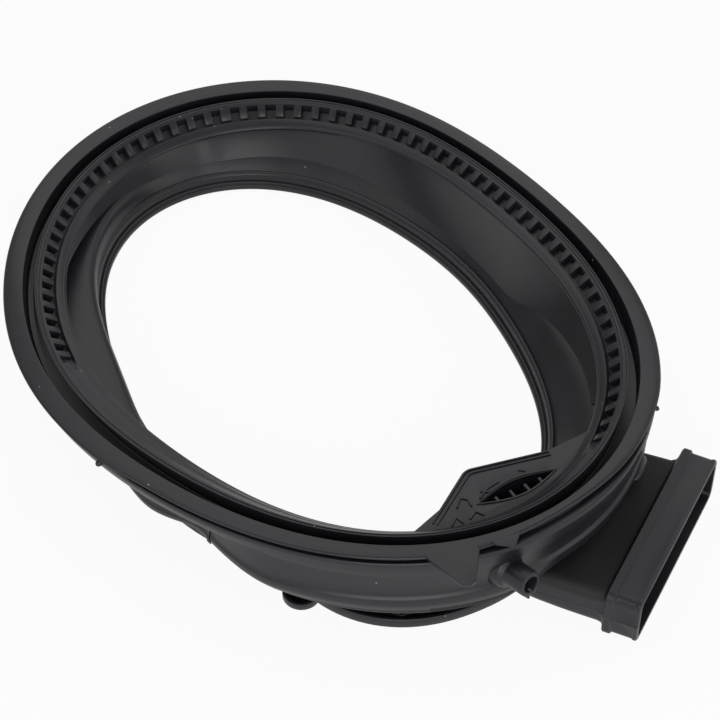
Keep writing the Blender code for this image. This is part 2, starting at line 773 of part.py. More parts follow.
def build_gasket():
    gasket = sweep_ring()
    for side_part in (duct_outside(), nozzle_outside(), cup_outside()):
        cut(side_part, inner_core())
        fuse(gasket, side_part)
    lobe = lobe_outside()
    cut(lobe, lobe_trough())
    fuse(gasket, lobe)
    large_tip = lip_point(LARGE_TAB_DIRECTION, -LARGE_TAB_REACH)
    small_tip = lip_point(SMALL_TAB_DIRECTION, -SMALL_TAB_REACH)
    fuse(gasket, tab(large_tip, LARGE_TAB_TIP_RADIUS, LARGE_TAB_FROM, LARGE_TAB_TO, "large_tab"))
    fuse(gasket, tab(small_tip, SMALL_TAB_TIP_RADIUS, SMALL_TAB_FROM, SMALL_TAB_TO, "small_tab"))
    fuse(gasket, flap_plate())
    cut(gasket, leaf_cells())
    cut(gasket, duct_passage())
    cut(gasket, nozzle_bore())
    cut(gasket, cup_inside())
    stand_on_base(gasket)
    gasket.data.materials.clear()
    gasket.data.materials.append(rubber())
    gasket.data.shade_smooth()
    gasket.data.set_sharp_from_angle(angle=math.radians(35))
    return gasket


clear_scene()
build_gasket()
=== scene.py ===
import math

import bmesh
import bpy
from mathutils import Matrix, Vector


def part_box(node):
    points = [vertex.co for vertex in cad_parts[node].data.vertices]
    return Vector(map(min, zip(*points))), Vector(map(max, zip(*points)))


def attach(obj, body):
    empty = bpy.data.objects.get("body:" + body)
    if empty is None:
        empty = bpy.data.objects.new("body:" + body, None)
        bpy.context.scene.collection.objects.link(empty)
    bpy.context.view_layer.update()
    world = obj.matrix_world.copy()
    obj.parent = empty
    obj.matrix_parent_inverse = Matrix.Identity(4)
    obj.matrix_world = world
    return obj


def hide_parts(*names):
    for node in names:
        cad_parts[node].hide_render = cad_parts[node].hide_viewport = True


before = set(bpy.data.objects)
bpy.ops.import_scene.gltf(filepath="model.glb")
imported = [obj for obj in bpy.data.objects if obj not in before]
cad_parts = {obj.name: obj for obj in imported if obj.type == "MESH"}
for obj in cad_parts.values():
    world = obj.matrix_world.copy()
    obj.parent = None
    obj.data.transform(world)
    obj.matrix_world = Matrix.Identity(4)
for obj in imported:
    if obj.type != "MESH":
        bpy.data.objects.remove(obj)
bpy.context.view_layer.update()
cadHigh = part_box("gasket")[1]

# angles go round the ring's own middle, from +X towards +Y, as seen from above
ringMiddle = Vector((cadHigh.x - 0.245, cadHigh.y - 0.1912, 0))


def rad(degrees):
    return math.radians(degrees)


class Wire:
    # one socket of a node tree, to be used in sums; it works for shaders and for Geometry Nodes
    def __init__(self, tree, socket=None):
        self.tree = tree
        self.socket = socket

    def add(self, kind, settings=None, inputs=None, out=0):
        node = self.tree.nodes.new(kind)
        for name, value in (settings or {}).items():
            setattr(node, name, value)
        for name, value in (inputs or {}).items():
            socket = node.inputs[name]
            if isinstance(value, Wire):
                self.tree.links.new(value.socket, socket)
            else:
                socket.default_value = value
        return Wire(self.tree, node.outputs[out])

    def sum(self, operation, *values):
        return self.add("ShaderNodeMath", {"operation": operation}, dict(enumerate(values)))

    def __add__(self, other):
        return self.sum("ADD", self, other)

    def __radd__(self, other):
        return self.sum("ADD", other, self)

    def __sub__(self, other):
        return self.sum("SUBTRACT", self, other)

    def __rsub__(self, other):
        return self.sum("SUBTRACT", other, self)

    def __mul__(self, other):
        return self.sum("MULTIPLY", self, other)

    def __rmul__(self, other):
        return self.sum("MULTIPLY", other, self)

    def __truediv__(self, other):
        return self.sum("DIVIDE", self, other)

    def cos(self):
        return self.sum("COSINE", self)

    def sin(self):
        return self.sum("SINE", self)

    def axis(self, letter):
        return self.add("ShaderNodeSeparateXYZ", {}, {"Vector": self}, out=letter)

    def ranged(self, low, high):
        # 0 up to low, 1 from high on, and straight between them
        return self.add("ShaderNodeMapRange", {}, {"Value": self, "From Min": low, "From Max": high})


def meshObject(name, mesh):
    obj = bpy.data.objects.new(name, mesh)
    bpy.context.scene.collection.objects.link(obj)
    return obj


def fromBmesh(bm, name):
    bmesh.ops.recalc_face_normals(bm, faces=bm.faces[:])
    mesh = bpy.data.meshes.new(name)
    bm.to_mesh(mesh)
    bm.free()
    return meshObject(name, mesh)


def baked(obj):
    # the evaluated shape becomes the plain mesh, and no modifier stays
    graph = bpy.context.evaluated_depsgraph_get()
    mesh = bpy.data.meshes.new_from_object(obj.evaluated_get(graph))
    obj.modifiers.clear()
    obj.data = mesh
    return obj


def nodeTree(name, inputs):
    # a Geometry Nodes tree with named inputs, and a start wire and a dictionary of the inputs
    tree = bpy.data.node_groups.new(name, "GeometryNodeTree")
    tree.interface.new_socket("Geometry", in_out="INPUT", socket_type="NodeSocketGeometry")
    for label, kind in inputs:
        tree.interface.new_socket(label, in_out="INPUT", socket_type=kind)
    tree.interface.new_socket("Geometry", in_out="OUTPUT", socket_type="NodeSocketGeometry")
    source = tree.nodes.new("NodeGroupInput")
    given = {socket.name: Wire(tree, socket) for socket in source.outputs if socket.name}
    return tree, Wire(tree), given


def endTree(start, geometry, material):
    geometry = start.add("GeometryNodeRealizeInstances", {}, {"Geometry": geometry})
    geometry = start.add("GeometryNodeSetMaterial", {}, {"Geometry": geometry, "Material": material})
    sink = start.tree.nodes.new("NodeGroupOutput")
    start.tree.links.new(geometry.socket, sink.inputs[0])


def runTree(obj, tree, values):
    modifier = obj.modifiers.new(tree.name, "NODES")
    modifier.node_group = tree
    for item in tree.interface.items_tree:
        if item.item_type == "SOCKET" and item.in_out == "INPUT" and item.name in values:
            modifier[item.identifier] = values[item.name]
    return baked(obj)


def joined(objects):
    # one mesh from several, under the first one's name
    bm = bmesh.new()
    for obj in objects:
        bm.from_mesh(obj.data)
    bm.to_mesh(objects[0].data)
    bm.free()
    for obj in objects[1:]:
        bpy.data.objects.remove(obj, do_unlink=True)
    return objects[0]


def smooth(obj, degrees=40):
    obj.data.shade_smooth()
    obj.data.set_sharp_from_angle(angle=rad(degrees))
    return obj


def boolean(target, tool, operation="DIFFERENCE"):
    modifier = target.modifiers.new("cut", "BOOLEAN")
    modifier.operation = operation
    modifier.solver = "EXACT"
    modifier.object = tool
    baked(target)
    bpy.data.objects.remove(tool, do_unlink=True)
    return target


def bevelled(obj, width, segments=2, degrees=40):
    modifier = obj.modifiers.new("edges", "BEVEL")
    modifier.width = width
    modifier.segments = segments
    modifier.limit_method = "ANGLE"
    modifier.angle_limit = rad(degrees)
    modifier.use_clamp_overlap = True
    return baked(obj)


# the rubber

rubberLook = dict(
    deep=(0.0068, 0.0069, 0.0088),
    worn=(0.0130, 0.0132, 0.0182),
    roughness=0.36,
    specular=0.50,
    # painted shadow: the colour and the reach of the ring's shadow on the duct's upper side
    paintedDuctShadow=(0.0012, 0.0012, 0.0016),
    shadowFrom=0.1450,
    shadowUpTo=0.2247,
    shadowTop=0.0302,
    shadowUnder=0.0375,
    dust=(0.30, 0.30, 0.31),
    dustCells=150.0,
    dustSize=0.085,
    dustRarity=0.955,
)


def makeRubber():
    look = rubberLook
    material = bpy.data.materials.new("satinRubber")
    material.use_nodes = True
    tree = material.node_tree
    shader = tree.nodes["Principled BSDF"]
    start = Wire(tree)
    place = start.add("ShaderNodeTexCoord", out="Object")
    # broad clouds where mould release and handling have left the skin paler
    clouds = start.add("ShaderNodeTexNoise", {"noise_dimensions": "3D"},
                       {"Vector": place, "Scale": 14.0, "Detail": 5.0, "Roughness": 0.6})
    streaks = start.add("ShaderNodeTexNoise", {"noise_dimensions": "3D"},
                        {"Vector": place, "Scale": 90.0, "Detail": 3.0, "Roughness": 0.55})
    grain = start.add("ShaderNodeTexNoise", {"noise_dimensions": "3D"},
                      {"Vector": place, "Scale": 1400.0, "Detail": 2.0})
    # tiny pale specks of dust, few and far between
    cells, lottery = [start.add("ShaderNodeTexVoronoi", {"feature": "F1"},
                                {"Vector": place, "Scale": look["dustCells"], "Randomness": 1.0}, out=out)
                      for out in ("Distance", "Color")]
    luck = start.add("ShaderNodeSeparateColor", {}, {"Color": lottery})
    rare = start.sum("GREATER_THAN", luck, look["dustRarity"])
    speck = start.sum("LESS_THAN", cells, look["dustSize"]) * rare
    wear = clouds.ranged(0.35, 0.68) * 0.7 + streaks.ranged(0.35, 0.7) * 0.3
    # painted shadow: the ring's cast shadow is painted as a near-black colour on the duct's upper side, up to
    # the stop band, where it also makes the rubber a little rougher
    inside = start.sum("LESS_THAN", place.axis("X"), look["shadowUpTo"] + ringMiddle.x)
    beside = start.sum("GREATER_THAN", place.axis("X"), look["shadowFrom"] + ringMiddle.x)
    upper = place.axis("Z").ranged(look["shadowTop"] - 0.003, look["shadowTop"])
    lower = start.sum("LESS_THAN", place.axis("Z"), look["shadowUnder"])
    paintedDuctShadow = inside * beside * upper * lower

    def blended(share, below, above):
        return start.add("ShaderNodeMix", {"data_type": "RGBA"}, {0: share, 6: below, 7: (*above, 1)}, out=2)

    skin = blended(wear, (*look["deep"], 1), look["worn"])
    dusty = blended(speck * 0.75, skin, look["dust"])
    # the painted shadow of the ring is laid over the skin here
    shadowedSkin = blended(paintedDuctShadow * 0.75, dusty, look["paintedDuctShadow"])
    rough = look["roughness"] + 0.10 * (wear - 0.5) + speck * 0.3
    relief = grain * 0.35 + streaks * 0.65 + speck * 1.5
    bump = start.add("ShaderNodeBump", {}, {"Height": relief, "Strength": 0.12, "Distance": 0.0004})
    tree.links.new(shadowedSkin.socket, shader.inputs["Base Color"])
    tree.links.new((rough + paintedDuctShadow * 0.22).socket, shader.inputs["Roughness"])
    tree.links.new(bump.socket, shader.inputs["Normal"])
    shader.inputs["Specular IOR Level"].default_value = look["specular"]
    return material


rubber = makeRubber()

# the rule that the whole ring follows

ringRule = {
    "Front Radius": 0.195,
    "Ovality": 0.026,
    "Oval Direction": rad(-31),
    "Bluntness": 0.0042,
    "Blunt Direction": rad(-4),
    "Squareness": 0.0019,
    "Square Direction": rad(52.5),
    "Rim Height": 0.062,
    "Rim Slope X": 0.063,
    "Rim Slope Y": -0.058,
    "Tip": 0.155,
    "Tip Mean": -0.018,
    "Tip Direction": rad(-36),
    "Rear Radius": 0.1376,
    "Rear X": -0.0029,
    "Rear Y": -0.0038,
    "Rear Ovality": 0.0252,
    "Rear Oval Direction": rad(-34.7),
    "Rear Bluntness": 0.0032,
    "Rear Blunt Direction": rad(24),
    "Rear Squareness": 0.0040,
    "Rear Square Direction": rad(-25.3),
    "Recess": 0.0165,
    "Full From": rad(-90),
    "Full Rise": rad(20),
    "Full Length": rad(87),
    "Full Fall": rad(42),
    "Swell": 0.0050,
    "Swell Direction": rad(-97),
    "Swell Half": rad(12),
    "Sag": 0.0085,
    "Sag From": rad(-88),
    "Sag Full": rad(-46),
    "Sag Ends": rad(-38),
    "Sag To": rad(-26),
    "Trim": 0.0022,
    "Trim From": rad(-108),
    "Trim To": rad(4),
    "Trim Ease": rad(14),
    "Notch": 0.0046,
    "Notch Direction": rad(-27),
    "Notch Half": rad(21),
    "Crease": 0.0016,
    "Crease Direction": rad(139),
    "Crease Half": rad(3.2),
    "Roll": 0.0185,
    "Roll From": rad(135),
    "Roll Rise": rad(95),
    "Roll Length": rad(135),
    "Roll Fall": rad(30),
    "First Pocket": rad(-15),
    "Last Pocket": rad(229),
    "Pocket Fade": rad(9),
}


def polar(radius, angle):
    return (radius * math.cos(angle), radius * math.sin(angle))


# the waves that are laid on a round outline: how many to a turn, their height and their direction
waves = ((2.0, "Ovality", "Oval Direction"), (3.0, "Bluntness", "Blunt Direction"),
         (4.0, "Squareness", "Square Direction"))


def waved(radius, angle, prefix=""):
    for count, height, direction in waves:
        radius += ringRule[prefix + height] * math.cos(count * (angle - ringRule[prefix + direction]))
    return radius


def frontRadius(angle):
    return waved(ringRule["Front Radius"], angle)


def rearRadius(angle):
    rule = ringRule
    radius = rule["Rear Radius"] + rule["Rear X"] * math.cos(angle) + rule["Rear Y"] * math.sin(angle)
    return waved(radius, angle, "Rear ")


def ease(value, low, high):
    share = min(1.0, max(0.0, (value - low) / (high - low)))
    return share * share * (3 - 2 * share)


def signed(angle):
    return (angle + math.pi) % (2 * math.pi) - math.pi


def hump(angle, name):
    return 1 - ease(abs(signed(angle - ringRule[name + " Direction"])), 0, ringRule[name + " Half"])


def recess(angle):
    rule = ringRule
    side = signed(angle - rule["Full From"])
    rise = ease(side, 0, rule["Full Rise"])
    fall = ease(side, rule["Full Length"], rule["Full Length"] + rule["Full Fall"])
    return rule["Recess"] * (1 - rise * (1 - fall)) - rule["Swell"] * hump(angle, "Swell")


def sagging(angle):
    rule = ringRule
    side = signed(angle)
    return rule["Sag"] * ease(side, rule["Sag From"], rule["Sag Full"]) * (
        1 - ease(side, rule["Sag Ends"], rule["Sag To"]))


def lipTrim(angle):
    rule = ringRule
    side = signed(angle)
    rise = ease(side, rule["Trim From"], rule["Trim From"] + rule["Trim Ease"])
    fall = ease(side, rule["Trim To"] - rule["Trim Ease"], rule["Trim To"])
    return rule["Trim"] * rise * (1 - fall) + rule["Notch"] * hump(angle, "Notch")


def rimLevel(x, y):
    return ringRule["Rim Height"] + ringRule["Rim Slope X"] * x + ringRule["Rim Slope Y"] * y


def ringPlace(angle, share, out, up, stand=0.0, sag=0.0, trim=0.0):
    rule = ringRule
    tip = share * (rule["Tip Mean"] + rule["Tip"] * math.cos(2 * (angle - rule["Tip Direction"])))
    out += stand * recess(angle) - trim * lipTrim(angle)
    up -= sag * sagging(angle)
    radius = share * frontRadius(angle) + (1 - share) * rearRadius(angle)
    radius += out * math.cos(tip) - up * math.sin(tip)
    x, y = radius * math.cos(angle), radius * math.sin(angle)
    z = share * rimLevel(x, y) + out * math.sin(tip) + up * math.cos(tip)
    return Vector((x, y, z)) + ringMiddle


# what each section point carries: the share of the lip's shape, its place, and how far it follows
# the wall's recess, the pockets' depth, the sag, the lip's trim, the crease and the inward roll
pointFields = ("share", "out", "up", "stand", "sink", "sag", "trim", "crease", "roll")


def point(share, out, up, stand=0.0, sink=0.0, sag=0.0, trim=0.0, crease=0.0, roll=0.0, soft=0.0):
    return (share, out, up, stand, sink, sag, trim, crease, roll, soft)


def ringTree():
    # sweeps a strip of section points round the ring
    inputs = [(name, "NodeSocketFloat") for name in ringRule]
    inputs += [("Stations", "NodeSocketInt"), ("Rows", "NodeSocketInt"), ("Points", "NodeSocketInt"),
               ("Middle", "NodeSocketVector"), ("Material", "NodeSocketMaterial")]
    tree, start, given = nodeTree("ringRuleTree", inputs)
    grid = start.add("GeometryNodeMeshGrid", {}, {"Size X": 1.0, "Size Y": 1.0,
                     "Vertices X": given["Stations"], "Vertices Y": given["Rows"]})
    index = start.add("GeometryNodeInputIndex")
    station = start.sum("FLOOR", index / given["Rows"] + 0.0001)
    row = index - station * given["Rows"]
    point = start.sum("FLOOR", start.sum("MODULO", row + 0.5, given["Points"]))
    turn = station / (given["Stations"] - 1.0)
    angle = turn * (2 * math.pi)

    def sample(name):
        value = start.add("GeometryNodeInputNamedAttribute", {"data_type": "FLOAT"}, {"Name": name})
        return start.add("GeometryNodeSampleIndex", {"data_type": "FLOAT", "domain": "POINT"},
                         {"Geometry": given["Geometry"], 1: value, "Index": point})

    share, out, up, stand, sink, sag, trim, crease, roll = [sample(name) for name in pointFields]
    front = given["Front Radius"]
    rear = given["Rear Radius"] + given["Rear X"] * angle.cos() + given["Rear Y"] * angle.sin()
    for count, height, direction in waves:
        front = front + given[height] * (count * (angle - given[direction])).cos()
        rear = rear + given["Rear " + height] * (count * (angle - given["Rear " + direction])).cos()

    def eased(value, low, high):
        return start.add("ShaderNodeMapRange", {"interpolation_type": "SMOOTHSTEP"},
                         {"Value": value, "From Min": low, "From Max": high})

    def side(direction):
        return start.sum("WRAP", angle - direction, math.pi, -math.pi)

    def humped(name):
        away = start.sum("ABSOLUTE", side(given[name + " Direction"]))
        return 1.0 - eased(away, 0.0, given[name + " Half"])

    fromFull = side(given["Full From"])
    rise = eased(fromFull, 0.0, given["Full Rise"])
    fall = eased(fromFull, given["Full Length"], given["Full Length"] + given["Full Fall"])
    standing = given["Recess"] * (1.0 - rise * (1.0 - fall)) - given["Swell"] * humped("Swell")
    plain = side(0.0)
    sinking = given["Sag"] * eased(plain, given["Sag From"], given["Sag Full"])
    sinking = sinking * (1.0 - eased(plain, given["Sag Ends"], given["Sag To"]))
    trimRise = eased(plain, given["Trim From"], given["Trim From"] + given["Trim Ease"])
    trimFall = eased(plain, given["Trim To"] - given["Trim Ease"], given["Trim To"])
    trimming = given["Trim"] * trimRise * (1.0 - trimFall) + given["Notch"] * humped("Notch")
    pocketSide = start.sum("WRAP", angle - given["First Pocket"], 2 * math.pi, 0.0)
    pocketSpan = given["Last Pocket"] - given["First Pocket"]
    fade = given["Pocket Fade"]
    pocketed = eased(pocketSide, 0.0, fade) * (1.0 - eased(pocketSide, pocketSpan - fade, pocketSpan))
    tip = share * (given["Tip Mean"] + given["Tip"] * (2.0 * (angle - given["Tip Direction"])).cos())
    far = out + stand * standing - trim * trimming - crease * given["Crease"] * humped("Crease")
    fromRoll = start.sum("WRAP", angle - given["Roll From"], 2 * math.pi, 0.0)
    rolling = eased(fromRoll, 0.0, given["Roll Rise"])
    rollEnd = given["Roll Length"] + given["Roll Fall"]
    rolling = rolling * (1.0 - eased(fromRoll, given["Roll Length"], rollEnd))
    far = far - roll * given["Roll"] * rolling
    high = up - sink * pocketed - sag * sinking
    radius = share * front + (1.0 - share) * rear + far * tip.cos() - high * tip.sin()
    x = radius * angle.cos()
    y = radius * angle.sin()
    level = given["Rim Height"] + given["Rim Slope X"] * x + given["Rim Slope Y"] * y
    z = share * level + far * tip.sin() + high * tip.cos()
    place = start.add("ShaderNodeCombineXYZ", {}, {"X": x, "Y": y, "Z": z})
    place = start.add("ShaderNodeVectorMath", {"operation": "ADD"}, {0: place, 1: given["Middle"]})
    ring = start.add("GeometryNodeSetPosition", {}, {"Geometry": grid, "Position": place})
    ring = start.add("GeometryNodeMergeByDistance", {}, {"Geometry": ring, "Distance": 0.000004})
    endTree(start, ring, given["Material"])
    return tree


def rounded(points, closed, steps=3):
    # a corner whose last value isn't 0 gets a small arc of about that size
    result = []
    count = len(points)
    for index, here in enumerate(points):
        size = here[-1]
        if size <= 0 or (not closed and index in (0, count - 1)):
            result.append(here[:-1])
            continue
        ends = []
        for other in (points[index - 1], points[(index + 1) % count]):
            length = math.hypot(other[1] - here[1], other[2] - here[2])
            share = min(0.48, size / max(length, 1e-9))
            ends.append([a + (b - a) * share for a, b in zip(here[:-1], other[:-1])])
        for step in range(steps + 1):
            t = step / steps
            result.append([(1 - t) ** 2 * a + 2 * t * (1 - t) * m + t * t * b
                           for a, m, b in zip(ends[0], here[:-1], ends[1])])
    return result


def sweepSection(name, points, closed, stations):
    mesh = bpy.data.meshes.new(name)
    mesh.from_pydata([(p[1], p[2], 0) for p in points], [], [])
    for number, label in enumerate(pointFields):
        attribute = mesh.attributes.new(label, "FLOAT", "POINT")
        attribute.data.foreach_set("value", [float(p[number]) for p in points])
    obj = meshObject(name, mesh)
    values = dict(ringRule)
    values.update({"Stations": stations + 1, "Rows": len(points) + (1 if closed else 0),
                   "Points": len(points), "Middle": ringMiddle, "Material": rubber})
    runTree(obj, ringSweep, values)
    bm = bmesh.new()
    bm.from_mesh(obj.data)
    bmesh.ops.recalc_face_normals(bm, faces=bm.faces[:])
    bm.to_mesh(obj.data)
    bm.free()
    return obj


ringSweep = ringTree()

# front bead: lip, clamp groove, inner ring, sealing lip, panel channel

bead = dict(
    lipWidth=0.0123, lipThick=0.0026, crown=0.0007, grooveWidth=0.0067, grooveDepth=0.0120,
    land=0.0040, pocketReach=0.0074, pocketDepth=0.0052, sealReach=0.0365, sealDrop=0.0113,
    sealEdge=0.0009, channelDepth=0.0085, channelGap=0.0015, ledgeBack=0.0016, ledgeHeight=0.0073,
    wall=0.0028, stations=368,
)


def coneUp(out):
    start = -(bead["lipWidth"] + bead["grooveWidth"] + bead["land"])
    slope = (bead["sealDrop"] - bead["crown"]) / (bead["sealReach"] + start)
    return -bead["crown"] - slope * (start - out)


def makeFrontBead():
    b = bead
    grooveOut = -b["lipWidth"]
    grooveIn = grooveOut - b["grooveWidth"]
    pocketOut = grooveIn - b["land"]
    pocketIn = pocketOut - b["pocketReach"]
    sealEnd = -b["sealReach"]
    ledgeTop = -b["lipThick"] - b["channelGap"]
    back = -b["ledgeBack"] - 0.0014
    rows = [
        point(1, 0.0, -0.0011, trim=1, soft=0.0008),
        point(1, -0.0009, 0.0, trim=1, soft=0.0007),
        point(1, -0.0042, 0.0004, trim=0.6, soft=0.0008),
        point(1, grooveOut, b["crown"], soft=0.0006),
        point(1, grooveOut - 0.0004, -b["grooveDepth"], soft=0.0010),
        point(1, grooveIn - 0.0026, -b["grooveDepth"], soft=0.0010),
        point(1, grooveIn, b["crown"], soft=0.0005),
        point(1, grooveIn - 0.0010, b["crown"], soft=0.0004),
        # fine moulding steps on the land
        point(1, grooveIn - 0.0013, -0.0001),
        point(1, grooveIn - 0.0021, -0.0002),
        point(1, grooveIn - 0.0023, 0.0002),
        point(1, grooveIn - 0.0028, 0.0002),
        point(1, grooveIn - 0.0030, -0.0004),
        point(1, pocketOut + 0.0003, coneUp(pocketOut), soft=0.0002),
        # the pockets' floor, which rises a little on its way inwards
        point(1, pocketOut - 0.0005, coneUp(pocketOut - 0.0005)),
        point(1, pocketOut - 0.0007, coneUp(pocketOut - 0.0007), sink=b["pocketDepth"]),
        point(1, pocketOut - 0.0028, coneUp(pocketOut - 0.0028), sink=0.95 * b["pocketDepth"]),
        point(1, pocketIn + 0.0006, coneUp(pocketIn), sink=0.72 * b["pocketDepth"]),
        point(1, pocketIn - 0.0006, coneUp(pocketIn - 0.0006), soft=0.0005),
        point(1, sealEnd + 0.0016, coneUp(sealEnd + 0.0016), soft=0.0004),
        point(1, sealEnd + 0.0011, coneUp(sealEnd + 0.0011) + 0.0003, soft=0.0003),
        point(1, sealEnd, coneUp(sealEnd) + 0.0001, soft=0.0005),
        point(1, sealEnd + 0.0003, coneUp(sealEnd) - b["sealEdge"], soft=0.0006),
        point(1, pocketIn + b["pocketDepth"], coneUp(pocketIn) - b["pocketDepth"] - 0.0030, soft=0.003),
        point(1, grooveIn - 0.0020, -b["grooveDepth"] - 0.0016, stand=-0.3, soft=0.003),
        point(1, back - 1.9 * b["wall"], -b["grooveDepth"] - 0.0022, stand=-0.8, soft=0.001),
        point(1, back - 0.0002, -b["grooveDepth"] - 0.0030, stand=-0.8),
        point(1, -b["ledgeBack"] - 0.0008, ledgeTop - b["ledgeHeight"], soft=0.0008),
        point(1, -b["ledgeBack"], ledgeTop - 0.0018, soft=0.0010),
        point(1, -b["ledgeBack"] - 0.0006, ledgeTop, soft=0.0006),
        point(1, -b["channelDepth"], ledgeTop, soft=0.0005),
        point(1, -b["channelDepth"], -b["lipThick"], soft=0.0005),
        point(1, -0.0010, -b["lipThick"], trim=1, soft=0.0007),
    ]
    return smooth(sweepSection("frontBead", rounded(rows, True), True, b["stations"]), 50)


frontBead = makeFrontBead()
print("front bead", len(frontBead.data.polygons))

# bars between the pockets

pocketBars = {"Bar Width": 0.0054, "Bar Length": 0.0080, "Bar Height": 0.0035, "Draft": 0.92}
pocketCount = 94
# the one wide bar with the moulder's pin mark stands a little higher than the others
wideBar = dict(angle=rad(134.7), stretch=1.35, lift=0.0004, otherLift=-0.00012)


def barTree():
    tree, start, given = nodeTree("pocketBarTree", [(name, "NodeSocketFloat") for name in pocketBars]
                                  + [("Material", "NodeSocketMaterial")])
    size = start.add("ShaderNodeCombineXYZ", {}, {"X": given["Bar Width"], "Y": given["Bar Length"],
                                                  "Z": given["Bar Height"]})
    block = start.add("GeometryNodeMeshCube", {}, {"Size": size, "Vertices X": 2, "Vertices Y": 2,
                                                   "Vertices Z": 2})
    place = start.add("GeometryNodeInputPosition")
    # a bar is a little narrower at its top, so that it leaves the mould
    narrow = 1.0 - start.sum("GREATER_THAN", place.axis("Z"), 0.0) * (1.0 - given["Draft"])
    tapered = start.add("ShaderNodeCombineXYZ", {}, {"X": place.axis("X") * narrow, "Y": place.axis("Y"),
                                                     "Z": place.axis("Z")})
    block = start.add("GeometryNodeSetPosition", {}, {"Geometry": block, "Position": tapered})

    def named(label, kind="FLOAT_VECTOR"):
        return start.add("GeometryNodeInputNamedAttribute", {"data_type": kind}, {"Name": label})

    turn = start.add("FunctionNodeAxesToRotation", {"primary_axis": "Z", "secondary_axis": "X"},
                     {"Primary Axis": named("outwards"), "Secondary Axis": named("along")})
    size = start.add("ShaderNodeCombineXYZ", {}, {"X": named("stretch", "FLOAT"), "Y": 1.0, "Z": 1.0})
    bars = start.add("GeometryNodeInstanceOnPoints", {}, {"Points": given["Geometry"], "Instance": block,
                                                          "Rotation": turn, "Scale": size})
    endTree(start, bars, given["Material"])
    return tree


def evenAngles(row, count, fine=3600):
    # angles that lie equally far apart along the ring, measured the given way inside its edge
    angles = [2 * math.pi * step / fine for step in range(fine + 1)]
    places = [Vector(polar(frontRadius(angle) - row, angle)) for angle in angles]
    lengths = [0.0]
    for before, after in zip(places, places[1:]):
        lengths.append(lengths[-1] + (after - before).length)
    result, step = [], 0
    for number in range(count):
        wanted = lengths[-1] * number / count
        while lengths[step + 1] <= wanted:
            step += 1
        share = (wanted - lengths[step]) / (lengths[step + 1] - lengths[step])
        result.append(angles[step] + share * (angles[step + 1] - angles[step]))
    return result


def makePocketBars():
    row = bead["lipWidth"] + bead["grooveWidth"] + bead["land"] + bead["pocketReach"] / 2
    angles = evenAngles(row, pocketCount)
    special = min(angles, key=lambda angle: abs(angle - wideBar["angle"]))
    span = ringRule["Last Pocket"] - ringRule["First Pocket"]
    places, along, outwards, stretch = [], [], [], []
    for angle in angles:
        if (angle - ringRule["First Pocket"]) % (2 * math.pi) > span:
            continue
        here, ahead, behind = [ringPlace(angle + turn, 1, -row, coneUp(-row)) for turn in (0, 0.004, -0.004)]
        inner = ringPlace(angle, 1, -row - 0.002, coneUp(-row - 0.002))
        direction = (ahead - behind).normalized()
        normal = direction.cross((inner - here).normalized()).normalized()
        if normal.z < 0:
            normal.negate()
        lift = wideBar["lift"] if angle == special else wideBar["otherLift"]
        places.append(here - normal * (pocketBars["Bar Height"] / 2 - lift))
        along.append(direction)
        outwards.append(normal)
        stretch.append(wideBar["stretch"] if angle == special else 1.0)
    mesh = bpy.data.meshes.new("pocketBars")
    mesh.from_pydata(places, [], [])
    for label, values in (("along", along), ("outwards", outwards)):
        attribute = mesh.attributes.new(label, "FLOAT_VECTOR", "POINT")
        attribute.data.foreach_set("vector", [number for value in values for number in value])
    attribute = mesh.attributes.new("stretch", "FLOAT", "POINT")
    attribute.data.foreach_set("value", stretch)
    obj = meshObject("pocketBars", mesh)
    runTree(obj, barTree(), {**pocketBars, "Material": rubber})
    return smooth(bevelled(obj, 0.0003, 2), 40)


bars = makePocketBars()
print("pocket bars", len(bars.data.polygons))

# bellows wall

bellows = dict(thickness=0.0028, bulgeShare=0.73, bulgeOut=0.0058, bulgeUp=-0.0115, bulgeRadius=0.008,
               top=rad(38), bottom=rad(-62), stations=368, perSpan=7)


def throughPoints(points, perSpan):
    # a smooth curve through the points, kept tight so that it doesn't overshoot
    result = []
    for index in range(len(points) - 1):
        a = points[max(0, index - 1)]
        b, c = points[index], points[index + 1]
        d = points[min(len(points) - 1, index + 2)]
        for step in range(perSpan):
            t = step / perSpan
            values = []
            for p0, p1, p2, p3 in zip(a, b, c, d):
                m1, m2 = (p2 - p0) * 0.36, (p3 - p1) * 0.36
                h = (2 * t ** 3 - 3 * t ** 2 + 1, t ** 3 - 2 * t ** 2 + t,
                     -2 * t ** 3 + 3 * t ** 2, t ** 3 - t ** 2)
                values.append(h[0] * p1 + h[1] * m1 + h[2] * p2 + h[3] * m2)
            result.append(values)
    result.append(list(points[-1]))
    return result


def wallPoints():
    b = bellows
    points = [point(1, -bead["ledgeBack"] - 0.0014, -0.0120, stand=-0.8)[:-1]]
    for step in range(5):
        turn = b["top"] + (b["bottom"] - b["top"]) * step / 4
        points.append(point(b["bulgeShare"], b["bulgeOut"] + b["bulgeRadius"] * math.cos(turn),
                            b["bulgeUp"] + b["bulgeRadius"] * math.sin(turn), stand=-1,
                            sag=0.4 + 0.15 * step, crease=1, roll=(0, 0, 0.02, 0.1, 0.3)[step])[:-1])
    points.append(point(0.3, 0.0092, 0.0030, stand=-0.42, crease=0.6, roll=1)[:-1])
    points.append(point(0, 0.0088, 0.0074, roll=0.1)[:-1])
    return throughPoints(points, b["perSpan"])


def makeWall():
    obj = sweepSection("bellowsWall", wallPoints(), False, bellows["stations"])
    bm = bmesh.new()
    bm.from_mesh(obj.data)
    bm.faces.ensure_lookup_table()
    face = bm.faces[0]
    outward = face.calc_center_median() - ringMiddle
    if face.normal.x * outward.x + face.normal.y * outward.y < 0:
        bmesh.ops.reverse_faces(bm, faces=bm.faces[:])
    bm.to_mesh(obj.data)
    bm.free()
    modifier = obj.modifiers.new("thickness", "SOLIDIFY")
    modifier.thickness = bellows["thickness"]
    modifier.offset = -1.0
    modifier.use_even_offset = True
    modifier.use_rim = True
    return baked(obj)


wall = makeWall()
print("bellows wall", len(wall.data.polygons))

# rear ring

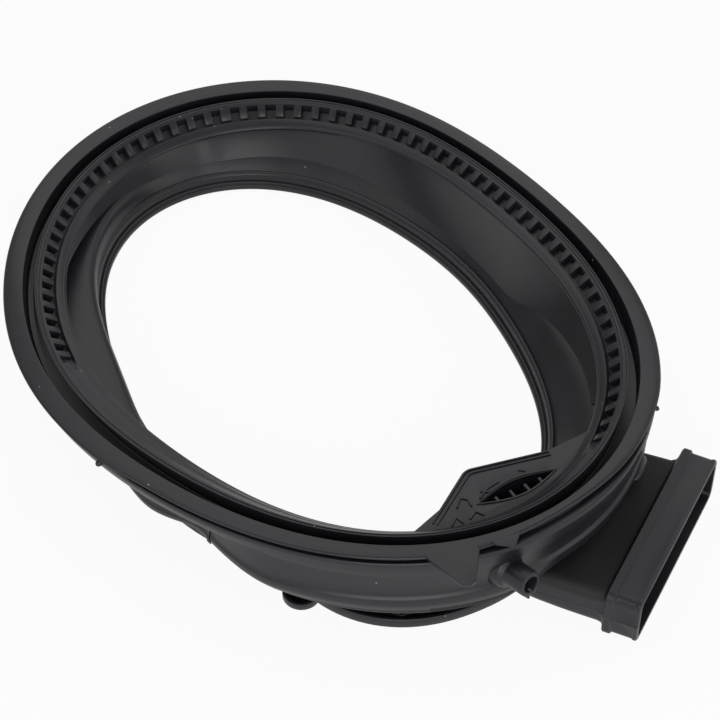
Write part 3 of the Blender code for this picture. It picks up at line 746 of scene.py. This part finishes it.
rearRing = dict(width=0.0090, height=0.0082, grooveDepth=0.0026, grooveWidth=0.0032, stations=368)


def makeRearRing():
    b = rearRing
    low = (b["height"] - b["grooveWidth"]) / 2
    high = low + b["grooveWidth"]
    inner = b["width"] - b["grooveDepth"]
    rows = [
        point(0, b["width"] - 0.0006, b["height"] + 0.0016, soft=0.0008),
        point(0, 0.0070, b["height"] + 0.0032, soft=0.0013),
        point(0, 0.0046, b["height"] + 0.0022, soft=0.0014),
        point(0, 0.0038, b["height"] - 0.0010, soft=0.0008),
        point(0, 0.0033, b["height"] - 0.0030, soft=0.0003),
        point(0, 0.0026, b["height"] - 0.0022, soft=0.0003),
        point(0, 0.0019, b["height"] - 0.0024, soft=0.0003),
        point(0, 0.0015, b["height"] - 0.0040, soft=0.0003),
        point(0, 0.0007, b["height"] - 0.0037, soft=0.0003),
        point(0, 0.0, 0.0040, soft=0.0010),
        point(0, 0.0, 0.0014, soft=0.0008),
        point(0, 0.0012, 0.0, soft=0.0008),
        point(0, b["width"], 0.0, soft=0.0005),
        point(0, b["width"], low, soft=0.0003),
        point(0, inner, low, soft=0.0003),
        point(0, inner, high, soft=0.0003),
        point(0, b["width"], high, soft=0.0003),
        point(0, b["width"], b["height"], soft=0.0004),
    ]
    return smooth(sweepSection("rearRing", rounded(rows, True), True, b["stations"]), 50)


rear = makeRearRing()
print("rear ring", len(rear.data.polygons))

# loops, lofts and plates for the parts beside the ring


def loft(sections, name, caps=True):
    bm = bmesh.new()
    loops = [[bm.verts.new(point) for point in section] for section in sections]
    for here, ahead in zip(loops, loops[1:]):
        for index in range(len(here)):
            following = (index + 1) % len(here)
            bm.faces.new((here[index], here[following], ahead[following], ahead[index]))
    if caps:
        bm.faces.new(loops[0])
        bm.faces.new(loops[-1])
    return fromBmesh(bm, name)


def plate(outline, low, high, name, onRim=True):
    # outline points are measured from the ring's middle
    def at(x, y, up):
        base = rimLevel(x, y) if onRim else 0.0
        return Vector((x, y, base + up)) + ringMiddle
    return loft([[at(x, y, low) for x, y in outline], [at(x, y, high) for x, y in outline]], name)


def arc(centre, radius, first, last, steps):
    return [(centre[0] + radius * math.cos(first + (last - first) * k / steps),
             centre[1] + radius * math.sin(first + (last - first) * k / steps)) for k in range(steps + 1)]


def innerSpace(depth):
    # the space inside the bellows, out to a given depth in the wall
    rows = []
    outside = wallPoints()[::3]
    for station in range(184):
        angle = 2 * math.pi * station / 184
        line = [ringPlace(angle, *each[:4], sag=each[5]) for each in outside]
        middle = []
        for index, place in enumerate(line):
            run = line[min(index + 1, len(line) - 1)] - line[max(index - 1, 0)]
            inward = Vector((math.cos(angle), math.sin(angle), 0))
            along = Vector((run.dot(inward), run.z))
            normal = Vector((along.y, -along.x)).normalized()
            middle.append(place + inward * normal.x * depth + Vector((0, 0, normal.y * depth)))
        top = ringPlace(angle, 1, -0.020, -0.0105, -0.8)
        bottom = ringPlace(angle, 0, 0.0045, 0.0090)
        rows.append([top] + middle + [bottom])
    return loft([list(level) for level in zip(*rows)], "innerSpace")


# drying-air duct

duct = dict(
    mouthX=0.245, mouthY=-0.0498, mouthZ=0.0195, twist=rad(-2), sleeveLength=0.0197, sleeveWidth=0.119,
    sleeveThick=0.032, sleeveCorner=0.0055, bandLength=0.0050, bandProud=0.0010, width=0.1105, thick=0.0265,
    corner=0.0065, rounder=0.0013, bow=0.0030, shift=-0.0025, rootX=0.135, rootY=-0.0555, rootZ=0.0225,
    rootWidth=0.099, rootThick=0.0235, startX=0.112, wall=0.0028, cornerSteps=8,
    seamUp=-0.0022, seamProud=0.0004, seamWidth=0.0009,
)


def ductLoop(x, width, thick, corner, shift=0.0, seam=0.0):
    d = duct
    along = (x - d["rootX"]) / (d["mouthX"] - d["rootX"])
    y0 = d["rootY"] + (d["mouthY"] - d["rootY"]) * along + shift
    z0 = d["rootZ"] + (d["mouthZ"] - d["rootZ"]) * along
    twist = d["twist"] * max(0.0, along)
    points = []
    for sideY, sideZ, first in ((1, 1, 0), (-1, 1, 90), (-1, -1, 180), (1, -1, 270)):
        for step in range(d["cornerSteps"] + 1):
            turn = rad(first + 90 * step / d["cornerSteps"])
            across = sideY * (width / 2 - corner) + corner * math.cos(turn)
            up = sideZ * (thick / 2 - corner) + corner * math.sin(turn)
            points.append((across, up))
        if sideY == -1 and sideZ == 1:
            # the parting line runs along the side next to the nozzle
            for place, proud in ((1, 0), (0.4, 1), (-0.4, 1), (-1, 0)):
                points.append((-width / 2 - proud * seam, d["seamUp"] + place * d["seamWidth"]))
    cos, sin = math.cos(twist), math.sin(twist)
    return [Vector((x, y0 + across * cos - up * sin, z0 + across * sin + up * cos)) + ringMiddle
            for across, up in points]


def bodyLoop(x, shrink=0.0, seam=0.0):
    d = duct
    along = (x - d["rootX"]) / (d["mouthX"] - d["sleeveLength"] - d["rootX"])
    # the side next to the nozzle swells a little on its way
    bow = d["bow"] * math.sin(math.pi * min(1.0, max(0.0, along)))
    width = d["rootWidth"] + (d["width"] - d["rootWidth"]) * along + bow
    thick = d["rootThick"] + (d["thick"] - d["rootThick"]) * along
    corner = d["corner"] + d["rounder"] * min(1.0, 1 - along)
    return ductLoop(x, width - 2 * shrink, thick - 2 * shrink, corner - shrink, d["shift"] - bow / 2, seam)


def passageLoops(extra):
    d = duct
    stepX = d["mouthX"] - d["sleeveLength"] + d["wall"]
    width, thick = d["sleeveWidth"] - 2 * d["wall"], d["sleeveThick"] - 2 * d["wall"]
    corner = d["sleeveCorner"] - d["wall"]
    return [bodyLoop(d["startX"], d["wall"]), bodyLoop(stepX, d["wall"]),
            ductLoop(stepX + 0.003, width, thick, corner),
            ductLoop(d["mouthX"] + extra, width, thick, corner)]


def makeDuct():
    d = duct
    bandX = d["mouthX"] - d["sleeveLength"]
    sleeveX = bandX + d["bandLength"]
    seam = d["seamProud"]
    bandWidth, bandThick = d["sleeveWidth"] + 2 * d["bandProud"], d["sleeveThick"] + 2 * d["bandProud"]
    sections = [bodyLoop(d["rootX"] + (bandX - 0.004 - d["rootX"]) * k / 8, 0, seam) for k in range(9)]
    c = d["sleeveCorner"]
    steps = [
        (bandX - 0.0015, d["width"] + 0.0012, d["thick"] + 0.0012, d["corner"], 0.8),
        (bandX - 0.0003, d["width"] + 0.0035, d["thick"] + 0.0045, d["corner"], 0.6),
        (bandX, bandWidth - 0.0012, bandThick - 0.0012, c, 0),
        (bandX + 0.0006, bandWidth, bandThick, c, 0),
        (sleeveX - 0.0005, bandWidth, bandThick, c, 0),
        (sleeveX, bandWidth - 0.0008, bandThick - 0.0008, c, 0),
        (sleeveX + 0.0006, d["sleeveWidth"], d["sleeveThick"], c, 0),
        (d["mouthX"] - 0.0030, d["sleeveWidth"], d["sleeveThick"], c, 0),
        (d["mouthX"] - 0.0022, d["sleeveWidth"] + 0.0008, d["sleeveThick"] + 0.0008, c, 0),
        (d["mouthX"] - 0.0006, d["sleeveWidth"] + 0.0008, d["sleeveThick"] + 0.0008, c, 0),
        (d["mouthX"], d["sleeveWidth"] - 0.0006, d["sleeveThick"] - 0.0006, c, 0),
    ]
    for x, width, thick, corner, bodyShare in steps:
        sections.append(ductLoop(x, width, thick, corner, d["shift"] * bodyShare, seam))
    body = loft(sections, "airDuct")
    boolean(body, innerSpace(0.0014))
    boolean(body, loft(passageLoops(0.002), "passage"))
    return body


airDuct = makeDuct()
boolean(wall, loft(passageLoops(0.002), "passage"))
smooth(wall, 50)
smooth(airDuct, 35)
print("air duct", len(airDuct.data.polygons))

# water nozzle

nozzle = dict(angle=rad(-36.3), distance=0.216, height=0.054, heading=rad(-23), rise=rad(12), length=0.0200,
              radius=0.0073, bore=0.0045, collar=0.0100, collarLength=0.0055, slit=0.0017, slitLength=0.0050)


def nozzlePlace():
    n = nozzle
    heading = Vector((math.cos(n["heading"]), math.sin(n["heading"]), 0)) * math.cos(n["rise"])
    heading.z = math.sin(n["rise"])
    x, y = polar(n["distance"], n["angle"])
    turn = heading.to_track_quat("Z", "Y").to_matrix().to_4x4()
    return Matrix.Translation(Vector((x, y, n["height"])) + ringMiddle) @ turn


def turned(profile, place, name, sides=48):
    sections = []
    for radius, height in profile:
        circle = [polar(radius, 2 * math.pi * k / sides) for k in range(sides)]
        sections.append([place @ Vector((x, y, height)) for x, y in circle])
    return loft(sections, name)


def makeNozzle():
    n = nozzle
    r, c, length, collar = n["radius"], n["collar"], n["length"], n["collarLength"]
    profile = [(c + 0.0022, -0.012), (c + 0.0016, -0.002), (c + 0.0006, collar - 0.0033),
               (c + 0.0002, collar - 0.0022), (c - 0.0003, collar - 0.0010), (c - 0.0010, collar - 0.0003),
               (r + 0.0011, collar - 0.0001), (r + 0.0005, collar + 0.0006), (r + 0.0002, collar + 0.002),
               (r, length - 0.0010), (r - 0.0003, length - 0.0003), (r - 0.0009, length)]
    tube = turned(profile, nozzlePlace(), "waterNozzle")
    boolean(tube, innerSpace(0.0014))
    boreProfile = [(n["bore"], -0.02), (n["bore"], length - 0.0008), (n["bore"] + 0.0008, length + 0.0005)]
    boolean(tube, turned(boreProfile, nozzlePlace(), "bore"))
    # the torn flash under the mouth is slit open at its lowest point
    down = nozzlePlace().inverted().to_quaternion() @ Vector((0, 0, -1))
    down = Vector((down.x, down.y, 0)).normalized()
    across = Vector((-down.y, down.x, 0))
    half = n["slit"] / 2
    sections = []
    for height in (length - n["slitLength"], length + 0.001):
        corners = [down * 0.002 - across * half, down * 0.002 + across * half, down * 0.012 + across * half,
                   down * 0.012 - across * half]
        sections.append([nozzlePlace() @ (corner + Vector((0, 0, height))) for corner in corners])
    boolean(tube, loft(sections, "slit"))
    prongs = []
    for side in (-1, 1):
        sections = []
        for height, grow in ((length - 0.0045, 1.0), (length - 0.0006, 0.8)):
            middle = down * (r + 0.0004) + across * side * (half + 0.0011)
            wide, deep = across * 0.0008 * grow, down * 0.0016 * grow
            corners = [middle - wide - deep, middle + wide - deep, middle + wide + deep, middle - wide + deep]
            sections.append([nozzlePlace() @ (corner + Vector((0, 0, height))) for corner in corners])
        prongs.append(bevelled(loft(sections, "prong"), 0.0004, 2))
    return smooth(joined([tube] + prongs), 40)


waterNozzle = makeNozzle()
boolean(wall, turned([(nozzle["bore"], -0.02), (nozzle["bore"], 0.020)], nozzlePlace(), "bore"))
smooth(wall, 50)
print("water nozzle", len(waterNozzle.data.polygons))

# tabs on the lip

tabs = dict(
    largeTip=(0.1665, -0.1625), largeRadius=0.0052, largeFrom=rad(-48.2), largeTo=rad(-40.6),
    smallTip=(0.1783, -0.1304), smallRadius=0.0022, smallFrom=rad(-38.6), smallTo=rad(-34.4), thick=0.0024,
)


def makeTab(tip, tipRadius, first, last, name):
    inward = bead["lipWidth"] / 2
    facing = math.atan2(tip[1], tip[0])
    outline = [polar(frontRadius(first) - inward, first), polar(frontRadius(first) - lipTrim(first), first)]
    outline += arc(tip, tipRadius, facing - rad(75), facing + rad(75), 14)
    outline += [polar(frontRadius(last) - lipTrim(last), last), polar(frontRadius(last) - inward, last)]
    tab = plate(outline, -tabs["thick"], -0.0002, name)
    return smooth(bevelled(tab, 0.0006, 3, 30), 40)


largeTab = makeTab(tabs["largeTip"], tabs["largeRadius"], tabs["largeFrom"], tabs["largeTo"], "largeTab")
smallTab = makeTab(tabs["smallTip"], tabs["smallRadius"], tabs["smallFrom"], tabs["smallTo"], "smallTab")
print("tabs")

# lint guard flap

flap = dict(
    level=-0.0140, thick=0.0026, corner=(0.1385, -0.0855), cornerRadius=0.009, bend=(0.1650, -0.0490),
    first=rad(-47.5), last=rad(-7), leafFrom=(0.1475, -0.1005), leafTo=(0.1735, -0.0625), innerBow=0.0050,
    outerBow=0.0055, post=0.0016, posts=4, tray=0.0160,
)


def flapOutline(grow=0.0):
    f = flap
    seat = bead["sealReach"] - 0.004
    outline = []
    for step in range(17):
        angle = f["first"] + (f["last"] - f["first"]) * step / 16
        outline.append(polar(frontRadius(angle) - seat, angle))
    outline.append((f["bend"][0] + grow * 0.7, f["bend"][1] - grow * 0.7))
    outline += arc(f["corner"], f["cornerRadius"] - grow, rad(135), rad(180), 8)
    outline.append((f["corner"][0] - f["cornerRadius"] + grow, f["corner"][1] - 3.2 * f["cornerRadius"]))
    return outline


def leafOutline(grow=0.0):
    f = flap
    start, end = Vector(f["leafFrom"]), Vector(f["leafTo"])
    along = (end - start).normalized()
    start, end = start - along * grow * 1.6, end + along * grow * 1.6
    across = Vector((-along.y, along.x))
    steps = 14
    bows = [math.sin(math.pi * k / steps) for k in range(steps + 1)]
    points = [start.lerp(end, k / steps) + across * (f["innerBow"] + grow) * bows[k]
              for k in range(steps + 1)]
    points += [start.lerp(end, 1 - k / steps) - across * (f["outerBow"] + grow) * bows[k]
               for k in range(1, steps)]
    return [(p.x, p.y) for p in points]


def leafCutter(low):
    # the leaf-shaped window, without the posts that cross it
    f = flap
    start, end = Vector(f["leafFrom"]), Vector(f["leafTo"])
    along = (end - start).normalized()
    across = Vector((-along.y, along.x))
    cutter = plate(leafOutline(), f["level"] - low, f["level"] + 0.003, "leaf")
    for number in range(1, f["posts"] + 1):
        middle = start.lerp(end, number / (f["posts"] + 1))
        reach, half = across * 0.012, along * f["post"] / 2
        corners = [middle - reach - half, middle - reach + half, middle + half, middle - half]
        boolean(cutter, plate([(c.x, c.y) for c in corners], f["level"] - 0.020, f["level"] - 0.0003, "post"))
    return cutter


def makeFlap():
    f = flap
    body = plate(flapOutline(), f["level"] - f["thick"], f["level"], "lintFlap")
    boolean(body, leafCutter(0.006))
    # a shallow tray closes the window below
    tray = plate(leafOutline(0.0022), f["level"] - f["tray"], f["level"] - f["thick"] + 0.0004, "tray")
    boolean(tray, leafCutter(f["tray"] - 0.0016))
    return smooth(bevelled(joined([body, tray]), 0.0004, 2, 40), 40)


def strip(points, width, low, high, name, onRim=True):
    # a narrow bar along a line of points
    left, right = [], []
    for index, here in enumerate(points):
        before, after = Vector(points[max(0, index - 1)]), Vector(points[min(len(points) - 1, index + 1)])
        along = (after - before).normalized()
        across = Vector((-along.y, along.x)) * width / 2
        if 0 < index < len(points) - 1:
            first = (Vector(here) - before).normalized()
            across /= max(0.5, across.normalized().dot(Vector((-first.y, first.x))))
        left.append(tuple(Vector(here) + across))
        right.append(tuple(Vector(here) - across))
    return plate(left + right[::-1], low, high, name, onRim)


def innerEdge(inset):
    # the flap's free edge, moved inwards by a little
    f = flap
    radius = f["cornerRadius"] - inset
    tail = (f["corner"][0] - radius, f["corner"][1] - 4.4 * f["cornerRadius"])
    bend = (f["bend"][0] + 0.72 * inset, f["bend"][1] - 0.72 * inset)
    edge = [tail, (tail[0], f["corner"][1] - 2.0 * f["cornerRadius"])]
    edge += arc(f["corner"], radius, rad(180), rad(135), 8)
    return edge + [tuple(Vector(edge[-1]).lerp(Vector(bend), share)) for share in (0.4, 0.8, 1.0)]


def addFlapRelief(body):
    # two rims along the free edge, one round the leaf, and the raised marks
    rim = leafOutline(0.0012)
    relief = [(innerEdge(inset), 0.0010, 0.0007) for inset in (0.0011, 0.0036)]
    relief += [(rim + rim[:2], 0.0009, 0.0006)]
    relief += [(line, 0.0011, 0.0009) for line in flapMarks]
    for line, width, proud in relief:
        raised = strip(line, width, flap["level"] - 0.0005, flap["level"] + proud, "relief")
        body = joined([body, bevelled(raised, 0.0003)])
    return body


flapMarks = [
    [(0.1406, -0.1227), (0.1399, -0.1159), (0.1455, -0.1181)],
    [(0.1472, -0.1141), (0.1477, -0.1075), (0.1532, -0.1082)],
    [(0.1376, -0.1097), (0.1361, -0.1023), (0.1403, -0.1012), (0.1443, -0.1050)],
    [(0.1458, -0.0979), (0.1467, -0.0893), (0.1500, -0.0821)],
    [(0.1440, -0.0930), (0.1490, -0.0915)],
    [(0.1560, -0.0700), (0.1600, -0.0690)],
]
lintFlap = smooth(addFlapRelief(makeFlap()), 40)
print("lint flap", len(lintFlap.data.polygons))

# rear lobe and drain cup

lobe = dict(radius=0.201, direction=rad(-38), half=rad(26), fall=0.027, height=0.0070, rim=0.0024,
            floor=0.0020, steps=44, troughInset=4)
cup = dict(distance=0.1812, angle=rad(-66.4), radius=0.0105, reach=0.0175, wall=0.0018, bottom=0.0166,
           top=0.0212)


def lobeOutline(inset, seat, left=0):
    # the lobe seen from above, or its trough, which leaves a few steps out at either end
    b = lobe
    angles = [b["direction"] + b["half"] * (2 * k / b["steps"] - 1)
              for k in range(left, b["steps"] - left + 1)]
    outside = []
    for angle in angles:
        fall = b["fall"] * (abs(angle - b["direction"]) / b["half"]) ** 2.5
        outside.append(polar(b["radius"] - fall - inset, angle))
    inside = [polar(rearRadius(angle) + seat, angle) for angle in reversed(angles)]
    return outside + inside


def makeLobe():
    b = lobe
    body = plate(lobeOutline(0.0, rearRing["width"] - 0.004), 0.0, b["height"], "rearLobe", onRim=False)
    trough = plate(lobeOutline(b["rim"], rearRing["width"] + 0.001, b["troughInset"]), b["floor"],
                   b["height"] + 0.002, "trough", onRim=False)
    boolean(body, trough)
    return smooth(bevelled(body, 0.0007, 3, 40), 40)


def makeCup():
    b = cup
    centre = polar(b["distance"], b["angle"])
    rounding = arc(centre, b["radius"], b["angle"] - math.pi / 2, b["angle"] + math.pi / 2, 24)
    backX, backY = polar(b["reach"], b["angle"])
    outline = rounding + [(rounding[side][0] - backX, rounding[side][1] - backY) for side in (-1, 0)]
    body = plate(outline, b["bottom"], b["top"], "drainCup", onRim=False)
    boolean(body, innerSpace(0.0014))
    hollow = arc(centre, b["radius"] - b["wall"], 0, 2 * math.pi, 40)[:-1]
    boolean(body, plate(hollow, b["bottom"] + b["wall"], b["top"] + 0.001, "hollow", onRim=False))
    return smooth(bevelled(body, 0.0005, 2, 40), 40)


rearLobe = makeLobe()
drainCup = makeCup()
print("lobe and cup")

# small things: hook in the trough, port, boss, mould step, lugs and the wall's upper part

small = dict(
    hook=[(0.1120, -0.1395), (0.1146, -0.1453), (0.1183, -0.1479), (0.1240, -0.1474), (0.1271, -0.1437),
          (0.1273, -0.1385)],
    hookWidth=0.0022, hookTop=0.0066,
    portAngle=rad(-2.2), portWide=0.0046, portTall=0.0105,
    bossAngle=rad(-6.2), bossLong=0.0100, bossRadius=0.0034,
    stepAngle=rad(-83.6), stepWide=rad(0.45), stepProud=0.0007,
    lugs=((rad(-106.6), -0.0012, -0.0048, 0.0020), (rad(-1.2), -0.0012, -0.0028, 0.0015)),
)


def ellipsoid(middle, along, longHalf, radius, name):
    # a long round lump with its long way in a given direction
    turn = Vector(along).normalized().to_track_quat("Z", "Y").to_matrix().to_4x4()
    place = Matrix.Translation(middle) @ turn
    profile = [(max(0.00002, radius * math.sin(math.pi * k / 14)), -longHalf * math.cos(math.pi * k / 14))
               for k in range(15)]
    return turned(profile, place, name, 24)


def makeBoss():
    # the lump where the wall meets the far end of the duct
    b = small
    share, up = bellows["bulgeShare"], bellows["bulgeUp"] - 0.004
    out = bellows["bulgeOut"] + bellows["bulgeRadius"]
    middle = ringPlace(b["bossAngle"], share, out - 0.0006, up, -1)
    ahead = ringPlace(b["bossAngle"] + 0.05, share, out, up, -1)
    return smooth(ellipsoid(middle, ahead - middle, b["bossLong"], b["bossRadius"], "ductBoss"), 60)


def cutPort():
    # the drop-shaped port in the wall, above the duct
    b = small
    line = [ringPlace(b["portAngle"], *each[:4], sag=each[5]) for each in wallPoints()]
    low, high = line[-6], line[-12]
    middle = (low + high) / 2
    turn = (high - low).normalized()
    tangent = Vector((-math.sin(b["portAngle"]), math.cos(b["portAngle"]), 0))
    inward = turn.cross(tangent).normalized()
    sections = []
    for depth in (-0.008, 0.008):
        loop = []
        for k in range(28):
            t = 2 * math.pi * k / 28
            wide = b["portWide"] * (1 - 0.45 * math.sin(t)) * math.cos(t)
            loop.append(middle + inward * depth + tangent * wide + turn * b["portTall"] * math.sin(t))
        sections.append(loop)
    boolean(wall, loft(sections, "port"))
    smooth(wall, 50)


def makeMouldStep():
    # the short upright seam of the mould, low on the left
    b = small
    sections = []
    for side, proud in ((-1, -0.0010), (-0.6, b["stepProud"]), (0.6, b["stepProud"]), (1, -0.0010)):
        angle = b["stepAngle"] + side * b["stepWide"]
        sections.append([ringPlace(angle, each[0], each[1] + proud, each[2], each[3], each[5])
                         for each in wallPoints()[2:30]])
    bm = bmesh.new()
    rows = [[bm.verts.new(place) for place in section] for section in sections]
    for here, ahead in zip(rows, rows[1:]):
        for index in range(len(here) - 1):
            bm.faces.new((here[index], here[index + 1], ahead[index + 1], ahead[index]))
    for end in (0, -1):
        bm.faces.new([row[end] for row in rows])
    for index in range(len(rows[0]) - 1):
        bm.faces.new((rows[0][index], rows[0][index + 1], rows[-1][index + 1], rows[-1][index]))
    return smooth(fromBmesh(bm, "mouldStep"), 40)


def makeLugs():
    # two moulding nubs on the lip's underside, at the left and at the right
    lugs = []
    for angle, out, up, size in small["lugs"]:
        outward = Vector((math.cos(angle), math.sin(angle), -0.3))
        lugs.append(ellipsoid(ringPlace(angle, 1, out, up), outward, size * 1.3, size, "lugs"))
    return smooth(joined(lugs), 60)


def makeHook():
    b = small
    bar = strip(b["hook"], b["hookWidth"], lobe["floor"] - 0.0005, b["hookTop"], "troughHook", False)
    return smooth(bevelled(bar, 0.0005, 3), 40)


skirt = dict(first=rad(7), last=rad(198), ease=rad(46), stations=170, rows=12, thick=0.0016, tuck=0.0286)


def makeSkirt():
    # the wall's upper part, which hangs straight down from the sealing lip along the top of the ring
    b = skirt
    top = (1, -bead["sealReach"] + 0.0022, coneUp(-bead["sealReach"]) - 0.0006, 0.0)
    foot = (0.0, 0.0078, 0.0086, 0.0)
    sections = []
    for station in range(b["stations"] + 1):
        angle = b["first"] + (b["last"] - b["first"]) * station / b["stations"]
        near = min(angle - b["first"], b["last"] - angle)
        tuck = b["tuck"] * (1 - ease(near, 0, b["ease"])) - ringRule["Crease"] * hump(angle, "Crease")
        inner, outer = [], []
        for row in range(b["rows"] + 1):
            t = row / b["rows"]
            share, out, up, stand = [first + (last - first) * t for first, last in zip(top, foot)]
            out += tuck * (1 - t) + 0.0012 * math.sin(math.pi * t)
            inner.append(ringPlace(angle, share, out, up, stand))
            outer.append(ringPlace(angle, share, out + b["thick"], up, stand))
        sections.append(inner + outer[::-1])
    return smooth(loft(sections, "upperWall"), 50)


cutPort()
upperWall = makeSkirt()
boss = makeBoss()
mouldStep = makeMouldStep()
lugs = makeLugs()
hook = makeHook()
print("small things")

# frame

pieces = [frontBead, bars, wall, rear, airDuct, waterNozzle, largeTab, smallTab, lintFlap, rearLobe, drainCup,
          upperWall, boss, mouldStep, lugs, hook]
for piece in pieces:
    piece.data.materials.clear()
    piece.data.materials.append(rubber)
    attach(piece, "root")
    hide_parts("gasket")

# studio

studio = dict(floorSize=6.0, floorDrop=0.0005, fill=0.19, gloss=0.30, floorSeen=0.93, floorGloss=0.50,
              lens=115.86, cameraAt=(0.43259, -0.83218, 1.02575), lookAt=(0.0436, -0.0346, 0.062),
              lampsAround=(0.02, 0, 0.04), lampDistance=2, lampSize=1.5, lampsFrom=-62.6)
# each lamp: the way it lies from the object, counted from the camera's side, its height and its power
lamps = [
    ("front", 0, 24, 18), ("right", 60, 24, 8), ("farRight", 120, 24, 5), ("left", 300, 24, 5),
    ("backLeft", 240, 56, 4.6), ("backHigh", 180, 56, 4.6), ("backLow", 180, 24, 3.4), ("above", 0, 90, 2.4),
]


def makeFloor():
    bm = bmesh.new()
    bmesh.ops.create_grid(bm, x_segments=1, y_segments=1, size=studio["floorSize"] / 2)
    floor = fromBmesh(bm, "studioFloor")
    floor.data.transform(Matrix.Translation((0, 0, -studio["floorDrop"])))
    material = bpy.data.materials.new("paleFloor")
    material.use_nodes = True
    tree = material.node_tree
    tree.nodes.remove(tree.nodes["Principled BSDF"])
    start = Wire(tree)
    matte = start.add("ShaderNodeBsdfDiffuse", {}, {"Color": (0.9, 0.9, 0.9, 1)})
    white = start.add("ShaderNodeEmission", {}, {"Color": (1, 1, 1, 1), "Strength": 1.0})
    # seen directly and in the rubber's gloss the floor is white; its own light on the object is plain
    seen = start.add("ShaderNodeLightPath", out="Is Camera Ray")
    mirrored = start.add("ShaderNodeLightPath", out="Is Glossy Ray")
    share = seen * studio["floorSeen"] + mirrored * studio["floorGloss"]
    mixed = start.add("ShaderNodeMixShader", {}, {0: share, 1: matte, 2: white})
    tree.links.new(mixed.socket, tree.nodes["Material Output"].inputs["Surface"])
    floor.data.materials.append(material)


def makeLamp(name, around, height, power):
    b = studio
    light = bpy.data.lights.new(name, "AREA")
    light.shape = "SQUARE"
    light.size = b["lampSize"]
    light.energy = power
    lamp = bpy.data.objects.new(name, light)
    bpy.context.scene.collection.objects.link(lamp)
    turn, lift = rad(b["lampsFrom"] + around), rad(height)
    away = Vector((math.cos(lift) * math.cos(turn), math.cos(lift) * math.sin(turn), math.sin(lift)))
    lamp.location = Vector(b["lampsAround"]) + b["lampDistance"] * away
    lamp.rotation_euler = (-away).to_track_quat("-Z", "Y").to_euler()


def makeWorld():
    world = bpy.data.worlds.new("studio")
    bpy.context.scene.world = world
    world.use_nodes = True
    tree = world.node_tree
    start = Wire(tree)
    background = tree.nodes["Background"]
    seen = start.add("ShaderNodeLightPath", out="Is Camera Ray")
    mirrored = start.add("ShaderNodeLightPath", out="Is Glossy Ray")
    plain = studio["fill"]
    strength = seen * (1 - plain) + mirrored * (studio["gloss"] - plain) + plain
    tree.links.new(strength.socket, background.inputs["Strength"])
    background.inputs["Color"].default_value = (1, 1, 1, 1)


def makeCamera():
    camera = bpy.data.cameras.new("photoCamera")
    camera.lens = studio["lens"]
    camera.sensor_width = 36
    camera.sensor_fit = "HORIZONTAL"
    obj = bpy.data.objects.new("photoCamera", camera)
    bpy.context.scene.collection.objects.link(obj)
    place = Vector(studio["cameraAt"]) + ringMiddle
    target = Vector(studio["lookAt"]) + ringMiddle
    obj.location = place
    obj.rotation_euler = (target - place).to_track_quat("-Z", "Y").to_euler()
    bpy.context.scene.camera = obj


makeFloor()
makeWorld()
makeCamera()
for lamp in lamps:
    makeLamp(*lamp)
bpy.context.scene.view_settings.view_transform = "Standard"
print("studio")
